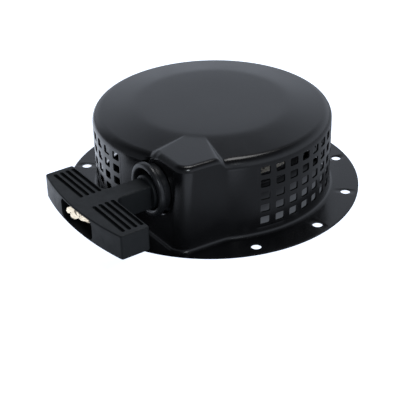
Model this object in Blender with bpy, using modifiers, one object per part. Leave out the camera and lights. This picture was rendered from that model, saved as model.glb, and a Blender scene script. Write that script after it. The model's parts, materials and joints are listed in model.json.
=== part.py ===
"""Recoil starter of a small air-cooled engine, as an assembly of its separate pieces.

Metres, +Z up.  The rope is pulled towards -Y.  The dimensions and the shapes below are measured from the
drum's axis, in the plane of the flange's underside, which bolts to the engine.  At the end one empty moves
them all, so that the origin is in the middle of the footprint.
"""

import math

import bmesh
import bpy
from mathutils import Matrix, Vector

# ---------------------------------------------------------------- pressed housing
SHEET = 0.0015
GAP = 0.0003

FLANGE_RADIUS = 0.1225
BOLT_CIRCLE_RADIUS = 0.1125
BOLT_HOLE_RADIUS = 0.0042
BOLT_PITCH = math.radians(30.0)
FIRST_BOLT = math.radians(11.9)
BOLT_PLACES = 12
BOLT_PLACE_UNDER_CORNER = 10

DRUM_RADIUS = 0.098
BASE_FILLET = 0.0035
RIM_FILLET = 0.008
RIM_FILLET_HEIGHT = 0.0621
PLATEAU_RADIUS = 0.0625
TOP_HEIGHT = 0.074

HOLE_WIDTH = 0.0082
HOLE_HEIGHT = 0.0068
HOLE_ROWS = 5
LOWEST_ROW = 0.0138
ROW_PITCH = 0.0109
COLUMN_PITCH = math.radians(360.0 / 46)
RIGHT_COLUMNS = 19
RIGHT_COLUMNS_START = math.radians(-10.7)
LEFT_COLUMNS = 18
LEFT_COLUMNS_START = RIGHT_COLUMNS_START - 9.5 * COLUMN_PITCH
DRUM_STEPS = 46

# The square corner that the drum is drawn out to, around the rope guide (plan view, inner corner first).
CORNER_OUTLINE = (
    (0.0460, -0.0408),
    (0.0395, -0.0480),
    (0.0395, -0.0860),
    (0.0836, -0.0860),
    (0.0860, -0.0482),
)
CORNER_ROUNDED = 3
CORNER_RADIUS = 0.011
CORNER_DRAFT = 0.0040
CORNER_TOP = 0.0735
CORNER_EDGE = 0.006

# ---------------------------------------------------------------- rope and its guide
GUIDE_X = 0.0502
GUIDE_Z = 0.0460
GUIDE_SEAT_Y = -0.0860
GUIDE_FRONT_Y = -0.0970
GUIDE_FLANGE_RADIUS = 0.0217
GUIDE_LIP_RADIUS = 0.0204
GUIDE_MOUTH_RADIUS = 0.0160
GUIDE_NECK_RADIUS = 0.0160
GUIDE_THROAT_RADIUS = 0.0065
GUIDE_BACK_Y = -0.0805
RETAINER_RADIUS = 0.0205

ROPE_RADIUS = 0.0024
ROPE_X = 0.0520
ROPE_Z = 0.0455
ROPE_BEND_Y = -0.0830
ROPE_SPLIT_Y = -0.0885
COIL_RADIUS = 0.0686
COIL_TURNS = 2
COIL_TOP = 0.0484
COIL_PITCH = 0.00535
COIL_STEPS = 24

# ---------------------------------------------------------------- reel and rewind spring
REEL_RADIUS = 0.0775
REEL_TOP = 0.0530
REEL_RIM_BOTTOM = 0.0334
REEL_FACE = 0.0296
GROOVE_TOP = 0.0513
GROOVE_BOTTOM = 0.0350
GROOVE_RADIUS = 0.0653
REEL_RIM_INSIDE = 0.0623
REEL_BOSS_RADIUS = 0.0370
REEL_WEB_BOTTOM = 0.0460
REEL_BORE = 0.0143
REEL_ROPE_HOLE_RADIUS = 0.0034

POST_RADIUS = 0.0100
POST_BOTTOM = 0.0170
POST_SHOULDER = 0.0699
POST_TENON_RADIUS = 0.0067
PLATE_RADIUS = 0.0280
PLATE_BOTTOM = 0.0702
PLATE_TOP = 0.0722
SCREW_RADIUS = 0.0030
SCREW_HEAD_BOTTOM = 0.0095

CUP_RADIUS = 0.0460
CUP_BOTTOM = 0.0533
CUP_TOP = 0.0675
CUP_SHEET = 0.0010
CUP_HOLE = 0.0125

SPRING_BOTTOM = 0.0550
SPRING_TOP = 0.0665
SPRING_STRIP = 0.0006
SPRING_INNER_RADIUS = 0.0107
SPRING_OUTER_RADIUS = 0.0443
SPRING_TURNS = 5
SPRING_STEPS = 18

# ---------------------------------------------------------------- pawls and friction plate
PAWL_BOTTOM = 0.0217
PAWL_TOP = 0.0267
PAWL_PIN_CIRCLE = 0.0240
PAWL_PIN_RADIUS = 0.0030
PAWL_EYE_RADIUS = 0.0060
PAWL_SWING = math.radians(25.0)
PAWL_TIP = (0.0030, -0.0225)
PEG_RADIUS = 0.0016
PEG_PLACE = (0.0010, -0.0100)
PEG_BOTTOM = 0.0178
CLIP_BOTTOM = 0.0206
CLIP_TOP = 0.0214

GUIDE_PLATE_RADIUS = 0.0350
GUIDE_PLATE_BOTTOM = 0.0174
GUIDE_PLATE_TOP = 0.0194
GUIDE_PLATE_TURN = math.radians(30.0)
CAM_SLOT_HALF_WIDTH = 0.0021
FRICTION_WIRE_RADIUS = 0.0008
FRICTION_RING_RADIUS = 0.0112
FRICTION_LEG_RADIUS = 0.0160
FRICTION_LEG_ANGLE = math.radians(14.0)
WASHER_RADIUS = 0.0160
WASHER_BOTTOM = 0.0152
WASHER_TOP = 0.0167

# ---------------------------------------------------------------- pull handle
GRIP_HALF_LENGTH = 0.0556
GRIP_BACK_Y = -0.1292
GRIP_CORNER_Y = -0.1518
GRIP_FRONT_Y = -0.1595
GRIP_BOTTOM = 0.0351
GRIP_TOP = 0.0545
GRIP_CORNER_RADIUS = 0.0025
GRIP_EDGE = 0.0010
STEM_HALF_WIDTH = 0.0085
STEM_END_Y = -0.0950
STEM_FILLET = 0.0060
COLLAR_RADIUS = 0.0135
COLLAR_FRONT_Y = -0.0985
COLLAR_BACK_Y = -0.0925
RIB_GROOVES_Y = (-0.1320, -0.1371, -0.1422, -0.1473)
RIB_GROOVE_WIDTH = 0.0025
RIB_GROOVE_DEPTH = 0.0028
RIB_GROOVE_START = 0.0086
RIB_GROOVE_END = 0.0492
KNOT_SLOT_X = 0.0535
KNOT_SLOT_HALF_LENGTH = 0.0222
KNOT_SLOT_HALF_HEIGHT = 0.0083
KNOT_SLOT_CORNER_RADIUS = 0.0045
KNOT_SLOT_BACK_Y = -0.1430
# Under the last groove the slot is lower, so that a wall is left between them.
KNOT_SLOT_STEP_Y = -0.1495
KNOT_SLOT_LOW_HALF_LENGTH = 0.0212
KNOT_SLOT_LOW_HALF_HEIGHT = 0.0060
KNOT_CENTRE_Y = -0.1525
KNOT_HALF_SIZES = (0.0140, 0.0052, 0.0062)

FINE_STEPS = 28
ROUND_STEPS = 40

# The origin is midway between the grip's front and the flange's back, and the drum's axis this far behind it.
DRUM_AXIS_Y = (-GRIP_FRONT_Y - FLANGE_RADIUS) / 2


# ---------------------------------------------------------------- materials
def material(name, colour, roughness, metallic):
    made = bpy.data.materials.new(name)
    made.use_nodes = True
    shader = made.node_tree.nodes["Principled BSDF"]
    shader.inputs["Base Color"].default_value = (*colour, 1.0)
    shader.inputs["Roughness"].default_value = roughness
    shader.inputs["Metallic"].default_value = metallic
    return made


def black_paint():
    return material("black_paint", (0.018, 0.018, 0.020), 0.36, 0.0)


def black_plastic():
    return material("black_plastic", (0.020, 0.022, 0.023), 0.55, 0.0)


def black_nylon():
    return material("black_nylon", (0.030, 0.030, 0.032), 0.60, 0.0)


def zinc_steel():
    return material("zinc_steel", (0.60, 0.61, 0.62), 0.35, 1.0)


def spring_steel():
    return material("spring_steel", (0.34, 0.36, 0.40), 0.30, 1.0)


def hardened_steel():
    return material("hardened_steel", (0.30, 0.29, 0.28), 0.42, 1.0)


def bronze():
    return material("sintered_bronze", (0.50, 0.34, 0.16), 0.50, 1.0)


def braided_rope():
    return material("braided_rope", (0.78, 0.74, 0.64), 0.85, 0.0)


# ---------------------------------------------------------------- modelling helpers
def new_collection(name):
    made = bpy.data.collections.new(name)
    bpy.context.scene.collection.children.link(made)
    return made


def add_object(name, data, collection, finish=None):
    made = bpy.data.objects.new(name, data)
    collection.objects.link(made)
    if finish is not None:
        data.materials.append(finish)
    return made


def as_cutter(obj):
    obj.hide_render = True
    obj.display_type = "WIRE"
    return obj


def smooth(mesh):
    mesh.shade_smooth()
    mesh.set_sharp_from_angle(angle=math.radians(35.0))


def mesh_from_bmesh(name, shape):
    mesh = bpy.data.meshes.new(name)
    shape.to_mesh(mesh)
    shape.free()
    return mesh


def turned(name, profile, steps, collection, finish=None, loop=True):
    """Turns a profile of (radius, height) about Z; a loop is a ring's section, else both ends are on the axis."""
    mesh = bpy.data.meshes.new(name)
    count = len(profile)
    edges = [(i, i + 1) for i in range(count - 1)]
    if loop:
        edges.append((count - 1, 0))
    mesh.from_pydata([(radius, 0.0, height) for radius, height in profile], edges, [])
    made = add_object(name, mesh, collection, finish)
    screw = made.modifiers.new("Turn", "SCREW")
    screw.steps = steps
    screw.render_steps = steps
    screw.use_merge_vertices = True
    screw.merge_threshold = 0.00001
    screw.use_smooth_shade = True
    return made


def arc(centre, radius, start, end, segments):
    """Points along an arc, angles in radians, both ends included."""
    angles = [start + (end - start) * i / segments for i in range(segments + 1)]
    return [(centre[0] + radius * math.cos(a), centre[1] + radius * math.sin(a)) for a in angles]


def rounded_corner(before, corner, after, radius, segments):
    """Arc points that round a corner of an outline."""
    corner = Vector(corner)
    to_before = (Vector(before) - corner).normalized()
    to_after = (Vector(after) - corner).normalized()
    half_angle = to_before.angle(to_after) / 2
    reach = radius / math.tan(half_angle)
    centre = corner + (to_before + to_after).normalized() * (radius / math.sin(half_angle))
    first = corner + to_before * reach - centre
    last = corner + to_after * reach - centre
    turn = first.angle_signed(last)
    return [tuple(centre + Matrix.Rotation(-turn * i / segments, 2) @ first) for i in range(segments + 1)]


def flat_outline(name, outlines, bottom, top, collection, finish=None):
    """Flat closed outlines filled and thickened from bottom to top; outlines after the first are holes."""
    curve = bpy.data.curves.new(name, "CURVE")
    curve.dimensions = "2D"
    curve.fill_mode = "BOTH"
    curve.extrude = (top - bottom) / 2
    for outline in outlines:
        spline = curve.splines.new("POLY")
        spline.points.add(len(outline) - 1)
        for point, (x, y) in zip(spline.points, outline):
            point.co = (x, y, 0.0, 1.0)
        spline.use_cyclic_u = True
    return mesh_from_curve(name, curve, (0.0, 0.0, (top + bottom) / 2), collection, finish)


def wire(name, points, radius, collection, finish=None):
    """A round wire or rope through points, with filled ends."""
    curve = bpy.data.curves.new(name, "CURVE")
    curve.dimensions = "3D"
    curve.bevel_depth = radius
    curve.bevel_resolution = 1
    curve.use_fill_caps = True
    spline = curve.splines.new("POLY")
    spline.points.add(len(points) - 1)
    for point, place in zip(spline.points, points):
        point.co = (*place, 1.0)
    return mesh_from_curve(name, curve, (0.0, 0.0, 0.0), collection, finish)


def mesh_from_curve(name, curve, location, collection, finish):
    """The curve's mesh with its caps welded on, in place of the curve."""
    guide = bpy.data.objects.new(name + "_curve", curve)
    guide.location = location
    bpy.context.scene.collection.objects.link(guide)
    bpy.context.view_layer.update()
    evaluated = guide.evaluated_get(bpy.context.evaluated_depsgraph_get())
    mesh = bpy.data.meshes.new_from_object(evaluated)
    mesh.name = name
    place = guide.matrix_world.copy()
    bpy.data.objects.remove(guide)
    shape = bmesh.new()
    shape.from_mesh(mesh)
    bmesh.ops.remove_doubles(shape, verts=shape.verts, dist=0.000005)
    bmesh.ops.recalc_face_normals(shape, faces=shape.faces)
    shape.to_mesh(mesh)
    shape.free()
    smooth(mesh)
    made = add_object(name, mesh, collection, finish)
    made.matrix_world = place
    return made


def rods(name, places, radius, bottom, top, steps, collection):
    """Upright cylinders at places (x, y), in one mesh."""
    shape = bmesh.new()
    for x, y in places:
        bmesh.ops.create_cone(
            shape,
            cap_ends=True,
            segments=steps,
            radius1=radius,
            radius2=radius,
            depth=top - bottom,
            matrix=Matrix.Translation((x, y, (top + bottom) / 2)),
        )
    return add_object(name, mesh_from_bmesh(name, shape), collection)


def along_rope(obj, x, z):
    """Turns an upright shape so that its height runs along -Y, on the line at x, z."""
    obj.rotation_euler = (math.radians(90.0), 0.0, 0.0)
    obj.location = (x, 0.0, z)
    return obj


def boolean(obj, other, operation, solver="EXACT"):
    step = obj.modifiers.new(operation.title(), "BOOLEAN")
    step.object = other
    step.operation = operation
    step.solver = solver


def polar(radius, angle):
    return (radius * math.cos(angle), radius * math.sin(angle))


# ---------------------------------------------------------------- housing
def inset_outline(outline, distance):
    """The outline with each side moved inwards; the outline runs anticlockwise."""
    count = len(outline)
    moved = []
    for i, corner in enumerate(outline):
        before = (Vector(corner) - Vector(outline[i - 1])).normalized()
        after = (Vector(outline[(i + 1) % count]) - Vector(corner)).normalized()
        normals = [Vector((-side.y, side.x)) for side in (before, after)]
        middle = (normals[0] + normals[1]).normalized()
        moved.append(tuple(Vector(corner) + middle * (distance / middle.dot(normals[0]))))
    return moved


def drawn_corner(name, inset, bottom, collection):
    """The square corner as a solid, inset from the outer surface."""
    corners = inset_outline(CORNER_OUTLINE, inset)
    at = CORNER_ROUNDED
    rounded = rounded_corner(corners[at - 1], corners[at], corners[at + 1], CORNER_RADIUS - inset, 6)
    outline = corners[:at] + rounded + corners[at + 1 :]
    top = CORNER_TOP - inset
    shape = bmesh.new()
    floor = shape.faces.new([shape.verts.new((x, y, bottom)) for x, y in outline])
    raised = bmesh.ops.extrude_face_region(shape, geom=[floor])["geom"]
    lifted = [item for item in raised if isinstance(item, bmesh.types.BMVert)]
    bmesh.ops.translate(shape, verts=lifted, vec=(0.0, 0.0, top - bottom))
    # The front wall leans out towards its foot.
    front_wall = CORNER_OUTLINE[CORNER_ROUNDED][1] + CORNER_RADIUS
    feet = [vert for vert in floor.verts if vert.co.y < front_wall]
    bmesh.ops.translate(shape, verts=feet, vec=(0.0, -CORNER_DRAFT, 0.0))
    bmesh.ops.recalc_face_normals(shape, faces=shape.faces)
    # Only the edge over the two outer walls is rounded; the other top edges lie within the drum.
    outer_line = outline[at - 1 :]
    wall_points = {(round(x, 6), round(y, 6)) for x, y in outer_line}

    def above_a_wall(vert):
        return vert.co.z > top - 1e-6 and (round(vert.co.x, 6), round(vert.co.y, 6)) in wall_points

    edges = [edge for edge in shape.edges if all(above_a_wall(vert) for vert in edge.verts)]
    offset = CORNER_EDGE - inset
    bmesh.ops.bevel(shape, geom=edges, offset=offset, segments=3, profile=0.5, affect="EDGES", clamp_overlap=True)
    return add_object(name, mesh_from_bmesh(name, shape), collection)


def drum_profile(inset, bottom):
    """Points of the drum's wall and top, from the base fillet to the axis, inset from the outer surface."""
    rise = TOP_HEIGHT - RIM_FILLET_HEIGHT - RIM_FILLET
    cone_angle = math.atan2(rise, DRUM_RADIUS - RIM_FILLET - PLATEAU_RADIUS)
    centre = (DRUM_RADIUS - RIM_FILLET, RIM_FILLET_HEIGHT)
    rim = arc(centre, RIM_FILLET - inset, 0.0, math.pi / 2 - cone_angle, 4)
    points = [(DRUM_RADIUS - inset, bottom)] + rim
    points.append((PLATEAU_RADIUS, TOP_HEIGHT - inset))
    points.append((0.0, TOP_HEIGHT - inset))
    return points


def make_housing(parts, cutters, finish):
    fillet_centre = (DRUM_RADIUS + BASE_FILLET, SHEET + BASE_FILLET)
    fillet = arc(fillet_centre, BASE_FILLET, math.pi, 1.5 * math.pi, 3)
    top = drum_profile(0.0, SHEET + BASE_FILLET)[1:]
    outer = list(reversed(top)) + fillet + [(FLANGE_RADIUS, SHEET), (FLANGE_RADIUS, 0.0), (0.0, 0.0)]
    housing = turned("housing", outer, DRUM_STEPS, parts, finish, loop=False)
    housing.rotation_euler.z = RIGHT_COLUMNS_START + COLUMN_PITCH / 2
    boolean(housing, as_cutter(drawn_corner("corner_outside", 0.0, SHEET / 3, cutters)), "UNION", "MANIFOLD")

    below = -SHEET
    inner = list(reversed(drum_profile(SHEET, below))) + [(0.0, below)]
    hollow = as_cutter(turned("drum_inside", inner, DRUM_STEPS, cutters, loop=False))
    hollow.rotation_euler.z = RIGHT_COLUMNS_START + COLUMN_PITCH / 2
    boolean(hollow, as_cutter(drawn_corner("corner_inside", SHEET, below, cutters)), "UNION", "MANIFOLD")
    seat = rods(
        "guide_seat",
        [(0.0, 0.0)],
        GUIDE_FLANGE_RADIUS + GAP + SHEET,
        -GUIDE_SEAT_Y - SHEET,
        DRUM_RADIUS + SHEET,
        FINE_STEPS,
        cutters,
    )
    boolean(hollow, as_cutter(along_rope(seat, GUIDE_X, GUIDE_Z)), "DIFFERENCE", "MANIFOLD")
    boolean(housing, hollow, "DIFFERENCE", "MANIFOLD")

    boolean(housing, as_cutter(perforations(cutters)), "DIFFERENCE", "MANIFOLD")

    places = [
        polar(BOLT_CIRCLE_RADIUS, FIRST_BOLT + place * BOLT_PITCH)
        for place in range(BOLT_PLACES)
        if place != BOLT_PLACE_UNDER_CORNER
    ]
    holes = rods("bolt_holes", places, BOLT_HOLE_RADIUS, below, 2 * SHEET, 16, cutters)
    boolean(housing, as_cutter(holes), "DIFFERENCE", "MANIFOLD")

    reach = DRUM_RADIUS + BASE_FILLET
    opening = turned(
        "guide_opening",
        [
            (0.0, reach),
            (GUIDE_FLANGE_RADIUS + GAP, reach),
            (GUIDE_FLANGE_RADIUS + GAP, -GUIDE_SEAT_Y),
            (GUIDE_NECK_RADIUS + GAP, -GUIDE_SEAT_Y),
            (GUIDE_NECK_RADIUS + GAP, -GUIDE_BACK_Y),
            (0.0, -GUIDE_BACK_Y),
        ],
        FINE_STEPS,
        cutters,
        loop=False,
    )
    boolean(housing, as_cutter(along_rope(opening, GUIDE_X, GUIDE_Z)), "DIFFERENCE", "MANIFOLD")


def perforations(cutters):
    """All the square holes of the drum's wall as one set of blocks."""
    angles = [RIGHT_COLUMNS_START + i * COLUMN_PITCH for i in range(RIGHT_COLUMNS)]
    angles += [LEFT_COLUMNS_START - i * COLUMN_PITCH for i in range(LEFT_COLUMNS)]
    block = Matrix.Diagonal((4 * SHEET, HOLE_WIDTH, HOLE_HEIGHT, 1.0))
    shape = bmesh.new()
    for angle in angles:
        turn = Matrix.Rotation(angle, 4, "Z")
        for row in range(HOLE_ROWS):
            height = LOWEST_ROW + row * ROW_PITCH
            place = Matrix.Translation((DRUM_RADIUS - SHEET / 2, 0.0, height))
            bmesh.ops.create_cube(shape, size=1.0, matrix=turn @ place @ block)
    return add_object("perforations", mesh_from_bmesh("perforations", shape), cutters)


# ---------------------------------------------------------------- centre post and rope guide
def make_post(parts, steel):
    turned(
        "post_plate",
        [
            (PLATE_RADIUS, PLATE_TOP),
            (PLATE_RADIUS, PLATE_BOTTOM),
            (POST_TENON_RADIUS + GAP, PLATE_BOTTOM),
            (POST_TENON_RADIUS + GAP, PLATE_TOP),
        ],
        FINE_STEPS,
        parts,
        steel,
    )
    tenon_top = PLATE_TOP - GAP / 2
    thread_end = REEL_TOP
    turned(
        "center_post",
        [
            (0.0, tenon_top),
            (POST_TENON_RADIUS, tenon_top),
            (POST_TENON_RADIUS, POST_SHOULDER),
            (POST_RADIUS, POST_SHOULDER),
            (POST_RADIUS, POST_BOTTOM),
            (SCREW_RADIUS + GAP, POST_BOTTOM),
            (SCREW_RADIUS + GAP, thread_end),
            (0.0, thread_end),
        ],
        FINE_STEPS,
        parts,
        steel,
        loop=False,
    )
    turned(
        "thrust_washer",
        [
            (WASHER_RADIUS, WASHER_TOP),
            (WASHER_RADIUS, WASHER_BOTTOM),
            (SCREW_RADIUS + GAP, WASHER_BOTTOM),
            (SCREW_RADIUS + GAP, WASHER_TOP),
        ],
        FINE_STEPS,
        parts,
        steel,
    )


def make_center_screw(parts, cutters, steel):
    flange_radius = 3 * SCREW_RADIUS
    flange_bottom = WASHER_BOTTOM - GAP - SHEET
    shank_top = REEL_TOP - SHEET
    screw = turned(
        "center_screw",
        [
            (0.0, shank_top),
            (SCREW_RADIUS, shank_top),
            (SCREW_RADIUS, WASHER_BOTTOM - GAP),
            (flange_radius, WASHER_BOTTOM - GAP),
            (flange_radius, flange_bottom),
            (0.0, flange_bottom),
        ],
        24,
        parts,
        steel,
        loop=False,
    )
    head_top = flange_bottom + SHEET / 2
    head = rods("screw_hexagon", [(0.0, 0.0)], 2 * SCREW_RADIUS, SCREW_HEAD_BOTTOM, head_top, 6, cutters)
    boolean(screw, as_cutter(head), "UNION")


def make_rope_guide(parts, plastic, steel):
    front = -GUIDE_FRONT_Y
    seat = -GUIDE_SEAT_Y
    back = -GUIDE_BACK_Y
    lip = GUIDE_LIP_RADIUS
    flange = GUIDE_FLANGE_RADIUS
    mouth = GUIDE_MOUTH_RADIUS
    throat = GUIDE_THROAT_RADIUS
    profile = [
        (lip - 0.0008, front),
        (lip + 0.0007, front - 0.0006),
        (flange, front - 0.0022),
        (flange, seat + GAP),
        (GUIDE_NECK_RADIUS, seat + GAP),
        (GUIDE_NECK_RADIUS, back),
        (throat + 0.0012, back),
        (throat, back + 0.0012),
        (throat, back + 0.0030),
        (throat + 0.0022, back + 0.0044),
        (mouth - 0.0030, back + 0.0066),
        (mouth - 0.0012, back + 0.0094),
        (mouth, back + 0.0125),
        (mouth + 0.0010, front - 0.0018),
        (mouth + 0.0024, front - 0.0004),
    ]
    along_rope(turned("rope_guide", profile, FINE_STEPS, parts, plastic), GUIDE_X, GUIDE_Z)
    ring_front = seat - SHEET - GAP
    ring = [
        (RETAINER_RADIUS, ring_front),
        (RETAINER_RADIUS, ring_front - SHEET),
        (GUIDE_NECK_RADIUS + GAP, ring_front - SHEET),
        (GUIDE_NECK_RADIUS + GAP, ring_front),
    ]
    along_rope(turned("rope_guide_retainer", ring, FINE_STEPS, parts, steel), GUIDE_X, GUIDE_Z)


# ---------------------------------------------------------------- reel, spring and rope
def make_reel(parts, cutters, nylon, bearing):
    rim_edge = 0.0005
    profile = [
        (REEL_RADIUS, REEL_TOP),
        (REEL_RADIUS, GROOVE_TOP + rim_edge),
        (GROOVE_RADIUS, GROOVE_TOP),
        (GROOVE_RADIUS, GROOVE_BOTTOM),
        (REEL_RADIUS, GROOVE_BOTTOM - rim_edge),
        (REEL_RADIUS, REEL_RIM_BOTTOM),
        (REEL_RIM_INSIDE, REEL_RIM_BOTTOM),
        (REEL_RIM_INSIDE, REEL_WEB_BOTTOM),
        (REEL_BOSS_RADIUS, REEL_WEB_BOTTOM),
        (REEL_BOSS_RADIUS, REEL_FACE),
        (REEL_BORE, REEL_FACE),
        (REEL_BORE, REEL_TOP),
    ]
    reel = turned("reel", profile, ROUND_STEPS, parts, nylon)
    pin_hole_top = pin_top() + GAP
    pin_holes = rods("pin_holes", pin_places(), PAWL_PIN_RADIUS + GAP, PAWL_TOP, pin_hole_top, 14, cutters)
    boolean(reel, as_cutter(pin_holes), "DIFFERENCE")
    start, inwards = coil_end()
    along = Vector((*inwards, 0.0)) * (COIL_RADIUS - REEL_RIM_INSIDE + SHEET)
    hole = wire("rope_hole", [start, start + along], REEL_ROPE_HOLE_RADIUS, cutters)
    boolean(reel, as_cutter(hole), "DIFFERENCE")
    turned(
        "reel_bush",
        [
            (REEL_BORE - GAP, REEL_TOP - GAP),
            (REEL_BORE - GAP, REEL_FACE + GAP),
            (POST_RADIUS + GAP, REEL_FACE + GAP),
            (POST_RADIUS + GAP, REEL_TOP - GAP),
        ],
        FINE_STEPS,
        parts,
        bearing,
    )


def tangent_angle():
    """Where the rope from the guide touches the coil, on the side that turns the reel clockwise."""
    bend = Vector((ROPE_X, ROPE_BEND_Y))
    return math.atan2(bend.y, bend.x) + math.acos(COIL_RADIUS / bend.length)


def coil_point(turns):
    """A point on the coil, counted from the tangent point in turns of the reel."""
    x, y = polar(COIL_RADIUS, tangent_angle() + turns * math.tau)
    return Vector((x, y, COIL_TOP - turns * COIL_PITCH))


def coil_end():
    """The coil's inner end and the direction from it to the axis."""
    end = coil_point(COIL_TURNS - 0.5 / COIL_STEPS)
    inwards = -Vector((end.x, end.y)).normalized()
    return end, inwards


def make_rope(parts, rope):
    tangent = Vector((*polar(COIL_RADIUS, tangent_angle()), COIL_TOP))
    bend = Vector((ROPE_X, ROPE_BEND_Y, ROPE_Z))
    stop = tangent + (bend - tangent).normalized() * 2 * GAP
    wire("rope_lead_in", [stop, bend, (ROPE_X, ROPE_SPLIT_Y, ROPE_Z)], ROPE_RADIUS, parts, rope)

    count = COIL_TURNS * COIL_STEPS
    points = [coil_point(i / COIL_STEPS) for i in range(count)]
    end, inwards = coil_end()
    through = end + Vector((*inwards, 0.0)) * (COIL_RADIUS - REEL_RIM_INSIDE + GAP)
    wire("rope_coil", points + [end, through], ROPE_RADIUS, parts, rope)
    knot_radius = 2 * ROPE_RADIUS
    knot_place = through + Vector((*inwards, 0.0)) * (knot_radius + GAP)
    make_knot("reel_knot", knot_place, (knot_radius, knot_radius, knot_radius), parts, rope)

    wire(
        "rope_lead_out",
        [(ROPE_X, ROPE_SPLIT_Y - GAP, ROPE_Z), (ROPE_X, KNOT_CENTRE_Y + KNOT_HALF_SIZES[1] + GAP, ROPE_Z)],
        ROPE_RADIUS,
        parts,
        rope,
    )
    make_knot("handle_knot", (ROPE_X, KNOT_CENTRE_Y, ROPE_Z), KNOT_HALF_SIZES, parts, rope)


def make_knot(name, place, half_sizes, parts, rope):
    shape = bmesh.new()
    bmesh.ops.create_uvsphere(
        shape, u_segments=16, v_segments=8, radius=1.0, matrix=Matrix.Diagonal((*half_sizes, 1.0))
    )
    mesh = mesh_from_bmesh(name, shape)
    smooth(mesh)
    knot = add_object(name, mesh, parts, rope)
    knot.location = place


def make_spring(parts, steel):
    turned(
        "spring_cup",
        [
            (CUP_RADIUS, CUP_TOP),
            (CUP_RADIUS, CUP_BOTTOM),
            (CUP_HOLE, CUP_BOTTOM),
            (CUP_HOLE, CUP_BOTTOM + CUP_SHEET),
            (CUP_RADIUS - CUP_SHEET, CUP_BOTTOM + CUP_SHEET),
            (CUP_RADIUS - CUP_SHEET, CUP_TOP),
        ],
        40,
        parts,
        zinc_steel(),
    )
    shape = bmesh.new()
    count = SPRING_TURNS * SPRING_STEPS
    growth = (SPRING_OUTER_RADIUS - SPRING_INNER_RADIUS) / count
    step = math.tau / SPRING_STEPS
    places = [polar(SPRING_INNER_RADIUS + i * growth, i * step) for i in range(count + 1)]
    verts = [shape.verts.new((*place, SPRING_BOTTOM)) for place in places]
    edges = [shape.edges.new((verts[i], verts[i + 1])) for i in range(count)]
    raised = bmesh.ops.extrude_edge_only(shape, edges=edges)["geom"]
    lifted = [item for item in raised if isinstance(item, bmesh.types.BMVert)]
    bmesh.ops.translate(shape, verts=lifted, vec=(0.0, 0.0, SPRING_TOP - SPRING_BOTTOM))
    bmesh.ops.recalc_face_normals(shape, faces=shape.faces)
    mesh = mesh_from_bmesh("rewind_spring", shape)
    smooth(mesh)
    spring = add_object("rewind_spring", mesh, parts, steel)
    strip = spring.modifiers.new("Strip", "SOLIDIFY")
    strip.thickness = SPRING_STRIP
    strip.offset = 0.0


# ---------------------------------------------------------------- pawls, pins and friction plate
def pin_places():
    return [polar(PAWL_PIN_CIRCLE, 0.0), polar(PAWL_PIN_CIRCLE, math.pi)]


def pin_top():
    return REEL_FACE + 4 * PAWL_PIN_RADIUS


def place_at_pin(obj, index):
    """Puts a shape made about its own pin at pin 1 or, turned half round, at pin 2."""
    angle = math.pi * (index - 1)
    x, y = polar(PAWL_PIN_CIRCLE, angle)
    obj.matrix_world = Matrix.Translation((x, y, 0.0)) @ Matrix.Rotation(angle, 4, "Z") @ obj.matrix_world


def make_pawl(index, parts, cutters, steel):
    eye = arc((0.0, 0.0), PAWL_EYE_RADIUS, math.radians(-20.0), math.radians(200.0), 10)
    claw = [
        (-0.0052, -0.0080),
        (-0.0034, -0.0150),
        (-0.0010, -0.0195),
        PAWL_TIP,
        (PAWL_TIP[0] + 0.0010, PAWL_TIP[1] + 0.0020),
        (0.0032, -0.0150),
        (0.0046, -0.0080),
    ]
    bore = list(reversed(arc((0.0, 0.0), PAWL_PIN_RADIUS + GAP, 0.0, math.tau * 15 / 16, 15)))
    pawl = flat_outline(f"pawl_{index}", [eye + claw, bore], PAWL_BOTTOM, PAWL_TOP, parts, steel)
    peg = rods(f"pawl_peg_{index}", [PEG_PLACE], PEG_RADIUS, PEG_BOTTOM, PAWL_BOTTOM + SHEET, 16, cutters)
    place_at_pin(pawl, index)
    place_at_pin(peg, index)
    boolean(pawl, as_cutter(peg), "UNION")


def make_pawl_pin(index, parts, steel):
    groove = PAWL_PIN_RADIUS - 0.0007
    pin = turned(
        f"pawl_pin_{index}",
        [
            (0.0, pin_top()),
            (PAWL_PIN_RADIUS, pin_top()),
            (PAWL_PIN_RADIUS, CLIP_TOP + GAP),
            (groove, CLIP_TOP + GAP),
            (groove, CLIP_BOTTOM - GAP),
            (PAWL_PIN_RADIUS, CLIP_BOTTOM - GAP),
            (PAWL_PIN_RADIUS, CLIP_BOTTOM - 2 * GAP),
            (0.0, CLIP_BOTTOM - 2 * GAP),
        ],
        16,
        parts,
        steel,
        loop=False,
    )
    place_at_pin(pin, index)


def make_pawl_clip(index, parts, steel):
    opening = math.radians(40.0)
    outer = arc((0.0, 0.0), 0.0052, opening, math.tau - opening, 14)
    inner = arc((0.0, 0.0), PAWL_PIN_RADIUS - 0.0007 + GAP, math.tau - opening, opening, 14)
    clip = flat_outline(f"pawl_clip_{index}", [outer + inner], CLIP_BOTTOM, CLIP_TOP, parts, steel)
    place_at_pin(clip, index)


def make_pawl_spring(index, parts, steel):
    """A turn of wire around the pin, between pawl and reel, with a leg at each end."""
    middle = (PAWL_TOP + REEL_FACE) / 2
    wire_radius = 0.0005
    coil_radius = PAWL_PIN_RADIUS + wire_radius + 2 * GAP
    rise = 2 * (wire_radius + GAP / 2)
    steps = 20
    points = []
    for i in range(steps + 1):
        height = middle + rise * (i / steps - 0.5)
        points.append(Vector((*polar(coil_radius, i * math.tau / 16), height)))
    start_leg = points[0] + Vector((0.0, -0.0090, 0.0))
    last_angle = steps * math.tau / 16
    along = Vector((-math.sin(last_angle), math.cos(last_angle), 0.0))
    end_leg = points[-1] + along * 0.0070
    spring = wire(f"pawl_spring_{index}", [start_leg] + points + [end_leg], wire_radius, parts, steel)
    place_at_pin(spring, index)


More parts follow.
